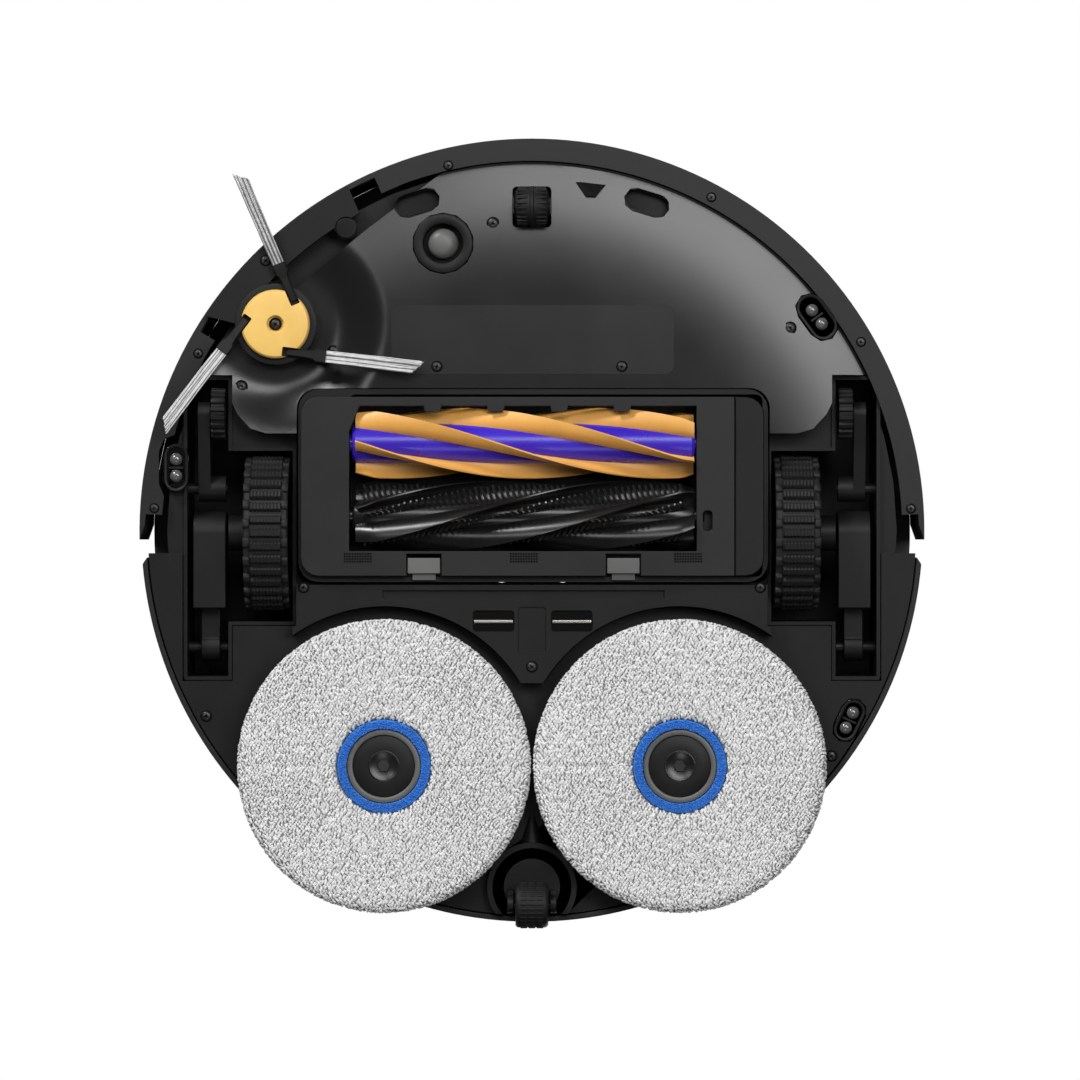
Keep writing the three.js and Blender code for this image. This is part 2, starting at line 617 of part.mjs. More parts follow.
const TEETH = [44.1, 16, -12.1, -40.1];
const OPENING = {
  x0: -73,
  x1: 81,
  y0: ROLLER_PITCH_Y - 2 * ROLLER_R,
  y1: ROLLER_PITCH_Y + 2 * ROLLER_R + 0.7,
};
const LATCHES = [['guard_latch_right', 47.9], ['guard_latch_left', -40.6]];
const LATCH = { half: 7.2, y0: -18.9, y1: -12, travel: 1.5 };
const CAP_SEAM = -89.9;

function makeGuard() {
  const top = GUARD_Z + 4.2;
  const frame = prism(roundedRect(GUARD.left, GUARD.right, GUARD.back, GUARD.front, 8), GUARD_Z, top);
  const seamed = cut(frame, block(-200, CAP_SEAM, -100, 100, 0, 60));
  const { x0, x1, y0, y1 } = OPENING;
  const mouth = outline([[x0, y0], [x1, y0], [x1, y1 - 11], [x1 - 4.5, y1], [x0, y1]]);
  let guard = cut(seamed, prism(mouth, 0, 60));
  for (const x of TEETH) {
    const tooth = outline([[x - 4.5, y1 + 1], [x - 3, y1 - 1.7], [x + 3, y1 - 1.7], [x + 4.5, y1 + 1]]);
    guard = guard.add(prism(tooth, GUARD_Z, GUARD_Z + 1.2));
  }
  for (const [, x] of LATCHES) {
    const notch = block(
      x - LATCH.half - PLAY, x + LATCH.half + PLAY, GUARD.back - 1, LATCH.y1 + LATCH.travel + 0.3, 0, 60);
    guard = guard.subtract(notch);
  }
  const lug = roundedRect(-83.7, OPENING.x0 - 0.2, -7, 15.5, 3);
  guard = guard.add(prism(lug, GUARD_Z, GUARD_Z + 4.2));
  return cut(guard, prism(roundedRect(-80, -76, 0, 9, 1.5), 0, 60));
}

function makeRollerBay() {
  add('roller_well', makeRollerWell(), BLACK);
  const front = ROLLER_PITCH_Y + ROLLER_STEP;
  const rear = ROLLER_PITCH_Y - ROLLER_STEP;
  makeRoller('front_roller', front, 1, VIOLET, ORANGE);
  makeRoller('rear_roller', rear, -1, null, RUBBER);
  const low = GUARD_Z + 5;
  const blockAt = (x0, x1) => block(x0, x1, RECESS.back + 6, RECESS.front - 6, low, WELL_ROOF - GAP);
  const sockets = (x0, x1) => [front, rear].map((y) => drum(4 + PLAY, x0, x1, y, ROLLER_Z));
  const housing = blockAt(RECESS.left + 5, ROLLER_LEFT - 1.5);
  add('roller_gearbox', cut(housing, ...sockets(ROLLER_LEFT - 4, ROLLER_LEFT)), BLACK);
  add('roller_guard', makeGuard(), SHELL);
  const capPlan = roundedRect(GUARD.left, CAP_SEAM + 20, GUARD.back, GUARD.front, 8);
  const cap = cut(prism(capPlan, GUARD_Z, GUARD_Z + 4.2), block(CAP_SEAM - 0.3, 0, -100, 100, 0, 60));
  add('guard_end_cap', cap, BLACK);
  for (const [name, x] of LATCHES) {
    const top = GUARD_Z + 4;
    const tab = block(x - LATCH.half, x + LATCH.half, LATCH.y0, LATCH.y1, GUARD_Z + 0.4, top);
    const half = LATCH.half - 2;
    const lip = block(x - half, x + half, LATCH.y0 - 3, LATCH.y0 + 1, GUARD_Z + 2.4, top);
    add(name, tab.add(lip), GREY);
  }
}

// ---------- casters and sensors ----------
function makeNoseCaster() {
  const group = groupAt(0, NOSE.y, NOSE.r);
  const half = NOSE.w / 2;
  const barrel = revolve([
    [2, -half], [NOSE.r - 1.6, -half], [NOSE.r - 0.3, -half + 3], [NOSE.r, 0], [NOSE.r - 0.3, half - 3],
    [NOSE.r - 1.6, half], [2, half], [2, -half],
  ], 20);
  const wheel = add('front_caster_wheel', barrel, RUBBER, group);
  wheel.rotation.y = Math.PI / 2;
  const roof = COVER_Z + 6;
  const cheeks = [-1, 1].map((s) =>
    block(s * (half + 0.5), s * (NOSE.slotX - 0.3), -3.5, 3.5, -3, roof - NOSE.r));
  const axle = join(drum(1.6, -half - 1, half + 1, 0, 0), ...cheeks);
  const bridge = block(-NOSE.slotX + 0.3, NOSE.slotX - 0.3, -3.5, 3.5, NOSE.r + 0.7, roof - NOSE.r + 1.5);
  const stem = block(-3, 3, -3, 3, NOSE.r + 1, PLATE_Z - GAP - NOSE.r);
  add('front_caster_axle', join(axle, bridge, stem), STEEL, group);
}

function makeRearCaster() {
  const group = groupAt(0, CASTER.y, CASTER.r);
  const z = (height) => height - CASTER.r;
  const under = 2 * CASTER.r + 0.6;
  const disc = post(FORK.discR, 0, 0, z(under), z(under + 2.6), 20);
  const stem = post(FORK.stemR, 0, 0, z(under + 1), z(PLATE_TOP + FORK.stemTop));
  const cheeks = [-1, 1].map((s) =>
    join(
      block(s * FORK.cheekX, s * (FORK.cheekX + FORK.cheekT), -CASTER.trail - 3.2, -1, 0, z(under - 0.2)),
      block(s * FORK.cheekX, s * (FORK.cheekX + FORK.cheekT), -FORK.neckY, -1, 0, z(under + 1)),
      drum(4.2, s * FORK.cheekX, s * (FORK.cheekX + FORK.cheekT), -CASTER.trail + 0.6, 0)));
  const axle = drum(1.5, -FORK.cheekX - 1, FORK.cheekX + 1, -CASTER.trail, 0);
  add('rear_caster_fork', join(disc, stem, axle, ...cheeks), BLACK, group);
  const half = CASTER.w / 2;
  const tread = revolve([
    [1.9, -half], [CASTER.r - 1, -half], [CASTER.r, -half + 1.5], [CASTER.r, half - 1.5],
    [CASTER.r - 1, half], [1.9, half], [1.9, -half],
  ]);
  const wheel = add('rear_caster_wheel', tread, RUBBER, group);
  wheel.rotation.y = Math.PI / 2;
  wheel.position.y = -CASTER.trail;
}

function makeSensors() {
  const carpetTop = PLATE_Z - GAP;
  const collar = revolve([
    [CARPET.grooveR, COVER_Z + 0.6], [CARPET.ringR - 1, COVER_Z + 0.6], [CARPET.ringR, COVER_Z + 1.6],
    [CARPET.ringR, carpetTop], [0, carpetTop], [0, carpetTop - 4], [CARPET.grooveR, carpetTop - 4],
    [CARPET.grooveR, COVER_Z + 0.6],
  ], 28, CARPET.x, CARPET.y);
  add('carpet_sensor_ring', collar, BLACK);
  const dome = revolve([
    [0, COVER_Z + 0.4], [4, COVER_Z + 0.8], [CARPET.domeR - 0.8, COVER_Z + 1.8],
    [CARPET.domeR, COVER_Z + 3.4],
    [CARPET.domeR, carpetTop - 4.3], [0, carpetTop - 4.3],
  ], 20, CARPET.x, CARPET.y);
  add('carpet_sensor_dome', dome, GREY);
  for (const [name, inset, bearing, turn, length, width, low, high] of CLIFFS) {
    const group = groupAt(...fromEdge(inset, bearing), 0);
    group.rotation.z = radians(turn);
    add(name, prism(pill(0, 0, length, width, 0), low, high), GLOSS, group);
  }
}

// ---------- side brush ----------
const HUB = { r: 15.3, z: GUARD_Z + 0.3, t: 3.4 };
const TUFT = { lead: 11.7, start: 12.7, root: 32, width: 5, tip: 1.4, thick: 1.2 };
const ARM_ANGLES = [66.9, 186.9, 306.9];

function makeBrushArm() {
  const crescent = prism(sector(ARM_IN, ARM_OUT, 33.4, 61.9, 35, 61.5), ARM_Z, ARM_TOP, 6);
  const boss = post(5, PIVOT_X, PIVOT_Y, ARM_Z + 2, ARM_TOP);
  const carrier = post(18.1, BRUSH_X, BRUSH_Y, ARM_Z + 0.2, ARM_TOP, 24);
  const web = prism(outline([
    [BRUSH_X, BRUSH_Y], onCircle(ARM_IN + 3, 36), onCircle(ARM_IN + 3, 43), onCircle(ARM_IN + 3, 49),
  ]), ARM_TOP - 2.8, ARM_TOP);
  const neck = prism(outline([
    onCircle(ARM_IN + 3, 56.5), onCircle(ARM_IN + 3, 60.3),
    [PIVOT_X - 2.5, PIVOT_Y + 2], [PIVOT_X + 4, PIVOT_Y - 2],
  ]), ARM_Z + 2, ARM_TOP);
  const pinHole = post(PIVOT_R + 0.35, PIVOT_X, PIVOT_Y, 0, 60);
  const headRoom = post(PIN_HEAD_R + PLAY, PIVOT_X, PIVOT_Y, 0, ARM_Z + 2);
  const shaftHole = post(4.4, BRUSH_X, BRUSH_Y, 0, 60);
  return cut(join(crescent, carrier, web, boss, neck), pinHole, shaftHole, headRoom);
}

function makeSideBrush() {
  add('side_brush_arm', makeBrushArm(), BLACK);
  const pin = join(
    post(PIVOT_R, PIVOT_X, PIVOT_Y, ARM_Z + 1, PLATE_TOP),
    post(PIN_HEAD_R, PIVOT_X, PIVOT_Y, ARM_Z + 0.3, ARM_Z + 1.6));
  add('brush_arm_pin', pin, STEEL);
  const group = groupAt(BRUSH_X, BRUSH_Y, 0);
  const top = HUB.z + HUB.t;
  const disc = revolve([
    [3.6, HUB.z], [HUB.r - 1.2, HUB.z], [HUB.r, HUB.z + 1.2], [HUB.r, top], [4, top], [4, ARM_TOP - 0.2],
    [0, ARM_TOP - 0.2], [0, HUB.z + 2.2], [3.6, HUB.z + 2.2], [3.6, HUB.z],
  ], 24);
  add('side_brush_hub', disc, YELLOW, group);
  const reach = BRUSH_R - 1.7;
  const tufts = ARM_ANGLES.map((a) => {
    const side = outline([
      [TUFT.start, HUB.z + 0.4], [20, HUB.z], [TUFT.root, GUARD_Z - 3.6], [reach, TUFT.tip],
      [reach, TUFT.tip + TUFT.thick], [TUFT.root + 2, GUARD_Z - 2.3], [22, ARM_Z - 0.6],
      [TUFT.start, ARM_Z - 0.3],
    ]);
    const flat = new THREE.ExtrudeGeometry(side, { depth: TUFT.width, bevelEnabled: false });
    flat.rotateX(Math.PI / 2);
    flat.translate(0, TUFT.lead + TUFT.width / 2, 0);
    flat.rotateZ(radians(a));
    return solidOf(flat);
  });
  const collar = ring(4.4, HUB.r + 1.6, top + 0.3, ARM_Z - 0.2, 40);
  add('side_brush_tufts', join(collar, ...tufts), BRISTLE, group);
}

// ---------- drive wheels and climbing legs ----------
// A plate of a Y-Z outline that stands across X, between two distances from the middle.
function standing(plan, side, near, far, tilt = 0, y = 0, z = 0) {
  const geometry = new THREE.ExtrudeGeometry(plan, {
    depth: far - near,
    bevelEnabled: false,
    curveSegments: 4,
  });
  geometry.rotateZ(tilt);
  geometry.translate(y, z, 0);
  geometry.rotateX(Math.PI / 2);
  geometry.rotateZ(Math.PI / 2);
  geometry.translate(side > 0 ? near : -far, 0, 0);
  return solidOf(geometry);
}

function makeTyre() {
  const blocks = 24;
  const step = 360 / blocks;
  const points = [];
  for (let i = 0; i < blocks; i += 1) {
    const a = i * step;
    points.push(onCircle(WHEEL_R - 2.2, a - step * 0.32), onCircle(WHEEL_R, a - step * 0.26));
    points.push(onCircle(WHEEL_R, a + step * 0.26), onCircle(WHEEL_R - 2.2, a + step * 0.32));
  }
  const shape = outline(points);
  const bore = new THREE.Path();
  bore.absarc(0, 0, WHEEL_R - 8, 0, 2 * Math.PI, true);
  shape.holes.push(bore);
  return prism(shape, -WHEEL_W / 2, WHEEL_W / 2, 12);
}

function makeDrive(name, side) {
  const group = groupAt(side * WHEEL_X, WHEEL_Y, WHEEL_R);
  group.rotation.y = (side * Math.PI) / 2;
  add(`${name}_tyre`, makeTyre(), RUBBER, group);
  const rim = WHEEL_R - 8.4;
  const half = WHEEL_W / 2;
  const hub = revolve([
    [0, -half + 5], [rim - 4, -half + 5], [rim - 4, -half + 1], [rim, -half + 1],
    [rim, half - 1], [rim - 4, half - 1], [rim - 4, half - 5], [8, half - 5], [8, BOX.in - WHEEL_X - 0.5],
    [0, BOX.in - WHEEL_X - 0.5],
  ], 18);
  add(`${name}_wheel_hub`, hub, BLACK, group);
  const x = (value) => side * value;
  const housing = new THREE.Shape();
  housing.absarc(WHEEL_Y, WHEEL_R, BOX.t + 1, -Math.PI / 2, Math.PI / 2, false);
  housing.lineTo(BOX.y0, WHEEL_R + BOX.t + 1);
  housing.lineTo(BOX.y0, WHEEL_R - BOX.t - 1);
  const plate = standing(housing, side, BOX.in, BOX.out);
  const link = block(x(BOX.in + 3), x(BOX.out - 3), SWING.y, BOX.y0 + 1, SWING.z - 5, SWING.z + 5);
  const eye = drum(SWING.r, x(BOX.in + 3), x(BOX.out - 3), SWING.y, SWING.z);
  const bore = drum(PIN_R + GAP, x(BOX.in), x(BOX.out), SWING.y, SWING.z);
  add(`${name}_drive_gearbox`, cut(join(plate, link, eye), bore), BLACK);
}

function makeLeg(name, side) {
  const x = (value) => side * value;
  const [dy, dz] = [CLIMB.y - LEG.y, CLIMB.z - LEG.z];
  const reach = Math.hypot(dy, dz);
  const bar = new THREE.Shape();
  const tilt = Math.atan2(dz, dy);
  bar.absarc(0, 0, LEG.r, Math.PI / 2, 1.5 * Math.PI, false);
  bar.absarc(reach, 0, LEG.r - 0.6, -Math.PI / 2, Math.PI / 2, false);
  const plate = standing(bar, side, LEG.barIn, LEG.barOut, tilt, LEG.y, LEG.z);
  const crank = drum(LEG.r, x(WELL.midX + 1), x(LEG.barIn + 1), LEG.y, LEG.z);
  const stub = drum(2.4, x(CLIMB.x - CLIMB.w / 2), x(LEG.barIn + 1), CLIMB.y, CLIMB.z);
  const bore = drum(PIN_R + GAP, x(WELL.midX), x(LEG.barOut + 1), LEG.y, LEG.z);
  add(`${name}_climbing_leg`, cut(join(plate, crank, stub), bore), BLACK);
  const teeth = 14;
  const points = [];
  for (let i = 0; i < teeth; i += 1) {
    const a = (360 / teeth) * i;
    points.push(onCircle(CLIMB.r - 1, a - 8), onCircle(CLIMB.r, a - 5), onCircle(CLIMB.r, a + 5));
    points.push(onCircle(CLIMB.r - 1, a + 8));
  }
  const shape = outline(points);
  const hole = new THREE.Path();
  hole.absarc(0, 0, 2.8, 0, 2 * Math.PI, true);
  shape.holes.push(hole);
  const group = groupAt(x(CLIMB.x), CLIMB.y, CLIMB.z);
  group.rotation.y = Math.PI / 2;
  add(`${name}_climbing_roller`, prism(shape, -CLIMB.w / 2, CLIMB.w / 2, 6), RUBBER, group);
}

// ---------- mops ----------
const MOP_RING = { r0: 16.6, r1: 20.6 };
function makeMop(name, side) {
  const group = groupAt(side * MOP_X, MOP_Y, 0);
  const low = 0.2;
  const top = low + MOP_T;
  const pad = revolve([
    [MOP_RING.r1 + 0.3, low], [MOP_R - 2.5, low], [MOP_R, low + 2.5], [MOP_R, top - 2], [MOP_R - 2, top],
    [MOP_RING.r1 + 0.3, top], [MOP_RING.r1 + 0.3, low],
  ], 28);
  add(`${name}_mop_pad`, pad, TERRY, group);
  add(`${name}_mop_ring`, ring(MOP_RING.r0, MOP_RING.r1, low + 1.2, top, 24), BLUE, group);
  const plate = top + 0.3;
  const carriage = PLATE_TOP + 1.5;
  const holder = revolve([
    [0, 5], [6.7, 3.6], [13.6, 2.4], [MOP_RING.r0 - 0.3, 2.4], [MOP_RING.r0 - 0.3, plate],
    [MOP_R - 5, plate], [MOP_R - 5, plate + 2.4], [SPINDLE.r, plate + 2.4], [SPINDLE.r, carriage + 8],
    [0, carriage + 8],
  ], 24);
  add(`${name}_mop_holder`, holder, GREY, group);
  const spindleLow = plate + 2.7;
  const sleeve = ring(SPINDLE.r + PLAY, SPINDLE.sleeveR, spindleLow + 1, carriage + 1, 16);
  const box = cut(
    prism(roundedRect(-26, 26, -24, 24, 6), carriage, carriage + 18),
    post(SPINDLE.r + PLAY, 0, 0, 0, carriage + 8.5));
  add(`${name}_mop_lift`, box.add(sleeve), BLACK, group);
}

// ---------- assembly ----------
add('chassis', makeChassis(), BLACK);
add('front_cover', makeFrontCover(), SATIN);
add('mid_plate', makeMidPlate(), BLACK);
add('mop_deck', makeMopDeck(), BLACK);
add('rear_shell', makeRearShell(), SHELL);
add('bumper', makeBumper(), SHELL);
add('bumper_window', makeWindow(), GLOSS);
add('top_cover', makeTopCover(), SATIN);
add('lid', makeLid(), SHELL);
add('scanner_cover', makeTurret(), GLOSS);
const rotor = revolve([
  [0, WALL_TOP - 2], [ROTOR.shaft, WALL_TOP - 2], [ROTOR.shaft, TOP_Z + 1], [ROTOR.r, TOP_Z + 1],
  [ROTOR.r, TURRET_TOP - 4], [0, TURRET_TOP - 4],
], 20, 0, TURRET.y);
add('scanner_rotor', rotor, BLACK);
for (const [name, x] of BUTTONS) {
  add(name, post(BUTTON.r, x, BUTTON.y, TOP_Z - SHEET - 1.4, TOP_Z + 0.6, 20), GREY);
}
makeInside();
makeRollerBay();
makeNoseCaster();
makeRearCaster();
makeSensors();
makeSideBrush();
for (const [name, side] of SIDES) {
  makeDrive(name, side);
  makeLeg(name, side);
  makeMop(name, side);
}

export default vacuum;
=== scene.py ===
# %% [markdown]
# # A robot vacuum and mop, seen from underneath
# This lesson finishes a machine whose frame, joints and sizes already exist as a CAD model.
# Everything here is made around that frame: the mouldings get soft edges, the wheels get
# tread, the mops get pile, and every surface gets a finish. Sizes are in millimetres in the
# text, and `MM` turns them into Blender's metres.

# %% Load the frame
import json
import math
import random

import bmesh
import bpy
from mathutils import Euler, Matrix, Quaternion, Vector


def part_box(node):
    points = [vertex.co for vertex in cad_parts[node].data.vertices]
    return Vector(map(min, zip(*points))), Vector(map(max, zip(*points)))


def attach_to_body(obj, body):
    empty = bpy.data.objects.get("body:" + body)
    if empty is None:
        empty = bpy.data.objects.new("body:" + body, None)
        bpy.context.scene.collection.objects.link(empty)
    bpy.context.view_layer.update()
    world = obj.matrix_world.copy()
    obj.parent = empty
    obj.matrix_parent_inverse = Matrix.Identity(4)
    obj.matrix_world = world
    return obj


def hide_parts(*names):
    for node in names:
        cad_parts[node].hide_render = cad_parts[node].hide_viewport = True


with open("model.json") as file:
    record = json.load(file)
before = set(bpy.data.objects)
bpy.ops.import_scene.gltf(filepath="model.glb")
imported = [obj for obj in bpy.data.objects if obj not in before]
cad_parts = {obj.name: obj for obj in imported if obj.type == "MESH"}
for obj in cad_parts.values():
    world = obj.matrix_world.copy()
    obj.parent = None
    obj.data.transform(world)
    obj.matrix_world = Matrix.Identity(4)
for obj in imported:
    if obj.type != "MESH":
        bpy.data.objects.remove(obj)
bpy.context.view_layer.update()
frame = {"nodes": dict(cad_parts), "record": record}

MM = 0.001
record = frame["record"]
BODY_OF = {node: body for body, nodes in record["behaviour"]["bodies"].items() for node in nodes}
SLOT_OF = {row["node"]: row["material_slot"] for row in record["subparts"]}
SIDES = {"right": 1, "left": -1}


def centre(node):
    """The middle of a CAD node's box, in mm."""
    low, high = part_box(node)
    return [(a + b) / 2 / MM for a, b in zip(low, high)]


HUB = centre("side_brush_hub")[:2]
HUB_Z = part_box("side_brush_hub")[0][2] / MM
COVER_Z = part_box("front_cover")[0][2] / MM
CARPET = centre("carpet_sensor_ring")[:2]
MOP_X, MOP_Y = centre("right_mop_pad")[:2]
CASTER_Y = -158.7
TURRET_Y = centre("scanner_cover")[1]

# %% [markdown]
# ## Moulded plastic
# Injection-moulded plastic is never one flat colour: the steel mould leaves a fine spark
# grain, and the gloss drifts a little over a hand's width. One helper makes all of them from
# a colour, a roughness and a grain, so that a row of mouldings looks like one machine.
# Noise on Object coordinates is used, because it needs no unwrapping and stays on the piece.

# %% Finish helpers
def add_node(tree, kind, inputs=None, **settings):
    """A shader or geometry node with its settings and its input values."""
    node = tree.nodes.new(kind)
    for name, value in settings.items():
        setattr(node, name, value)
    for name, value in (inputs or {}).items():
        node.inputs[name].default_value = value
    return node


def place(tree):
    """The node that reads where a point is on the piece, in metres."""
    return add_node(tree, "ShaderNodeTexCoord").outputs["Object"]


def noise(tree, where, scale, detail=3.0, roughness=0.5):
    """A noise value between 0 and 1, with that many waves to the metre."""
    made = add_node(tree, "ShaderNodeTexNoise",
                    {"Scale": scale, "Detail": detail, "Roughness": roughness})
    tree.links.new(where, made.inputs["Vector"])
    return made.outputs["Fac"]


def between(tree, factor, low, high, start=0.3, end=0.7):
    """A number that runs from low to high as the factor does from start to end."""
    made = add_node(tree, "ShaderNodeMapRange",
                    {"From Min": start, "From Max": end, "To Min": low, "To Max": high})
    tree.links.new(factor, made.inputs["Value"])
    return made.outputs["Result"]


def tint(tree, factor, dark, light):
    """A colour between two, by a factor."""
    ramp = add_node(tree, "ShaderNodeValToRGB")
    ramp.color_ramp.elements[0].position = 0.3
    ramp.color_ramp.elements[1].position = 0.7
    ramp.color_ramp.elements[0].color = (*dark, 1)
    ramp.color_ramp.elements[1].color = (*light, 1)
    tree.links.new(factor, ramp.inputs["Fac"])
    return ramp.outputs["Color"]


def bump(tree, height, strength, depth):
    """Turns a height into a shading normal; depth is in metres."""
    made = add_node(tree, "ShaderNodeBump", {"Strength": strength, "Distance": depth})
    tree.links.new(height, made.inputs["Height"])
    return made.outputs["Normal"]


GRAIN_DEPTH = 0.00008


def plain(name, roughness, **sockets):
    """An empty finish: its material, node tree and shader."""
    material = bpy.data.materials.new(name)
    material.use_nodes = True
    skin = material.node_tree.nodes["Principled BSDF"]
    skin.inputs["Roughness"].default_value = roughness
    for socket, value in sockets.items():
        skin.inputs[socket.replace("_", " ")].default_value = value
    return material, material.node_tree, skin


def moulded(name, colour, roughness, grain=0.2, grain_scale=1500, drift=0.05, **sockets):
    """A moulded plastic or rubber with grain, drifting gloss and a little colour change."""
    material, tree, skin = plain(name, roughness, **sockets)
    where = place(tree)
    broad = noise(tree, where, 26, 5, 0.6)
    fine = noise(tree, where, grain_scale, 2)
    dark, light = ([min(1.0, channel * ratio) for channel in colour] for ratio in (0.86, 1.14))
    tree.links.new(tint(tree, broad, dark, light), skin.inputs["Base Color"])
    tree.links.new(between(tree, broad, roughness - drift, roughness + drift), skin.inputs["Roughness"])
    tree.links.new(bump(tree, fine, grain, GRAIN_DEPTH), skin.inputs["Normal"])
    return material


FINISH = {
    "black_plastic": moulded("black_grained_plastic", (0.0085, 0.0085, 0.009), 0.46, 0.35,
                             Specular_IOR_Level=0.22),
    "satin_cover": moulded("satin_charcoal_cover", (0.0095, 0.0095, 0.010), 0.25, 0.05, 900, 0.012),
    "shell": moulded("fine_grey_shell", (0.0145, 0.0145, 0.015), 0.46, 0.3, Specular_IOR_Level=0.28),
    "top_shell": moulded("satin_top_shell", (0.016, 0.016, 0.017), 0.34, 0.12, 900),
    "window": moulded("infrared_window", (0.004, 0.004, 0.005), 0.09, 0.02, 300, 0.02, Coat_Weight=0.6),
    "rubber": moulded("matt_rubber", (0.010, 0.010, 0.010), 0.55, 0.5, 1100, Specular_IOR_Level=0.25),
    "tread": moulded("tread_rubber", (0.014, 0.014, 0.014), 0.60, 0.6, 900, Specular_IOR_Level=0.3),
    "grey_plastic": moulded("mid_grey_plastic", (0.115, 0.115, 0.112), 0.42, 0.25),
    "orange_fins": moulded("soft_orange_rubber", (0.86, 0.43, 0.095), 0.42, 0.12, 700, 0.06,
                           Subsurface_Weight=0.08, Subsurface_Scale=0.002),
    "violet_core": moulded("violet_plastic", (0.045, 0.018, 0.52), 0.28, 0.08, 700),
    "yellow_hub": moulded("warm_yellow_plastic", (1.0, 0.60, 0.15), 0.42, 0.14, 1200),
}
print(len(FINISH), "moulded finishes")

# %% [markdown]
# ## Metal, cloth, bristle and board
# These finishes need more than grain. Turned steel carries fine rings, so its roughness
# follows a stretched noise. Terry and hook pile are soft: a rough surface with sheen scatters
# light at its edges. The bin is clear, and the circuit board has tracks from a brick pattern.

# %% The other finishes
def steel_finish():
    """Turned steel with fine rings."""
    material, tree, skin = plain("turned_steel", 0.3, Metallic=1.0, Anisotropic=0.4)
    where = place(tree)
    rings = noise(tree, where, 1800, 1)
    tree.links.new(tint(tree, rings, (0.30, 0.30, 0.31), (0.46, 0.46, 0.46)), skin.inputs["Base Color"])
    tree.links.new(between(tree, rings, 0.26, 0.42), skin.inputs["Roughness"])
    return material


def cloth_finish(name, dark, light, sheen, yarns, depth):
    """A soft cloth between two colours, with that many yarns to the metre."""
    material, tree, skin = plain(name, 0.92, Sheen_Weight=sheen, Sheen_Roughness=0.45)
    where = place(tree)
    yarn = noise(tree, where, yarns, 3, 0.6)
    patch = noise(tree, where, 70, 3)
    tree.links.new(tint(tree, yarn, dark, light), skin.inputs["Base Color"])
    tree.links.new(between(tree, patch, 0.86, 0.98), skin.inputs["Roughness"])
    tree.links.new(bump(tree, yarn, 0.7, depth), skin.inputs["Normal"])
    return material


def bristle_finish(name, dark, light):
    """Nylon whose strands differ a little in colour and gloss."""
    material, tree, skin = plain(name, 0.35)
    strand = noise(tree, place(tree), 420, 2)
    tree.links.new(tint(tree, strand, dark, light), skin.inputs["Base Color"])
    tree.links.new(between(tree, strand, 0.28, 0.45), skin.inputs["Roughness"])
    return material


def clear_finish():
    material, tree, skin = plain("smoked_clear_plastic", 0.12, IOR=1.49, Transmission_Weight=0.85)
    haze = noise(tree, place(tree), 60, 3)
    tree.links.new(tint(tree, haze, (0.30, 0.33, 0.36), (0.40, 0.43, 0.46)), skin.inputs["Base Color"])
    tree.links.new(between(tree, haze, 0.08, 0.2), skin.inputs["Roughness"])
    return material


def board_finish():
    material, tree, skin = plain("coated_board", 0.35)
    tracks = add_node(tree, "ShaderNodeTexBrick", {"Scale": 160.0, "Mortar Size": 0.03})
    tracks.inputs["Color1"].default_value = (0.012, 0.085, 0.035, 1)
    tracks.inputs["Color2"].default_value = (0.014, 0.10, 0.04, 1)
    tracks.inputs["Mortar"].default_value = (0.10, 0.20, 0.08, 1)
    where = place(tree)
    tree.links.new(where, tracks.inputs["Vector"])
    tree.links.new(tracks.outputs["Color"], skin.inputs["Base Color"])
    tree.links.new(between(tree, noise(tree, where, 300), 0.28, 0.42), skin.inputs["Roughness"])
    return material


def pleated_finish():
    material, tree, skin = plain("pleated_paper", 0.85)
    folds = add_node(tree, "ShaderNodeTexWave", {"Scale": 90.0, "Distortion": 0.6})
    tree.links.new(place(tree), folds.inputs["Vector"])
    fold = folds.outputs["Fac"]
    tree.links.new(tint(tree, fold, (0.5, 0.5, 0.48), (0.75, 0.75, 0.72)), skin.inputs["Base Color"])
    tree.links.new(bump(tree, fold, 0.8, 0.0006), skin.inputs["Normal"])
    return material


FINISH["steel"] = steel_finish()
FINISH["terry"] = cloth_finish("pale_grey_terry", (0.60, 0.60, 0.60), (0.90, 0.90, 0.90), 0.2, 450, 0.0002)
FINISH["blue_ring"] = cloth_finish("blue_hook_pile", (0.010, 0.14, 0.56), (0.04, 0.30, 0.90),
                                   0.3, 1500, 0.0003)
FINISH["bristle"] = bristle_finish("pale_nylon", (0.74, 0.74, 0.74), (0.90, 0.90, 0.90))
GREY_BRISTLE = bristle_finish("grey_nylon", (0.16, 0.16, 0.16), (0.30, 0.30, 0.30))
# The terry's ground cloth is painted much darker than its loops, as the shade between them.
TERRY_PAINTED_SHADE = cloth_finish("terry_ground_painted_shade", (0.26, 0.26, 0.26), (0.42, 0.42, 0.42), 0.1, 900, 0.0003)
FINISH["clear_bin"] = clear_finish()
FINISH["board_green"] = board_finish()
FINISH["filter_paper"] = pleated_finish()
DARK_BRISTLE = bristle_finish("black_nylon", (0.010, 0.010, 0.010), (0.030, 0.030, 0.030))
LENS = moulded("clear_lens", (0.10, 0.10, 0.10), 0.06, 0.01, 300, 0.02, Coat_Weight=1.0, Coat_Roughness=0.03)
DARK_STEEL = moulded("blackened_screw_steel", (0.045, 0.045, 0.047), 0.38, 0.2, 1600, 0.08, Metallic=0.7)
# Near-black, darker than any plastic here: painted shade for the floors of wells, recesses and counterbores.
PAINTED_SHADE_BLACK = moulded("shadowed_black", (0.0025, 0.0025, 0.0025), 0.7, 0.2, Specular_IOR_Level=0.08)
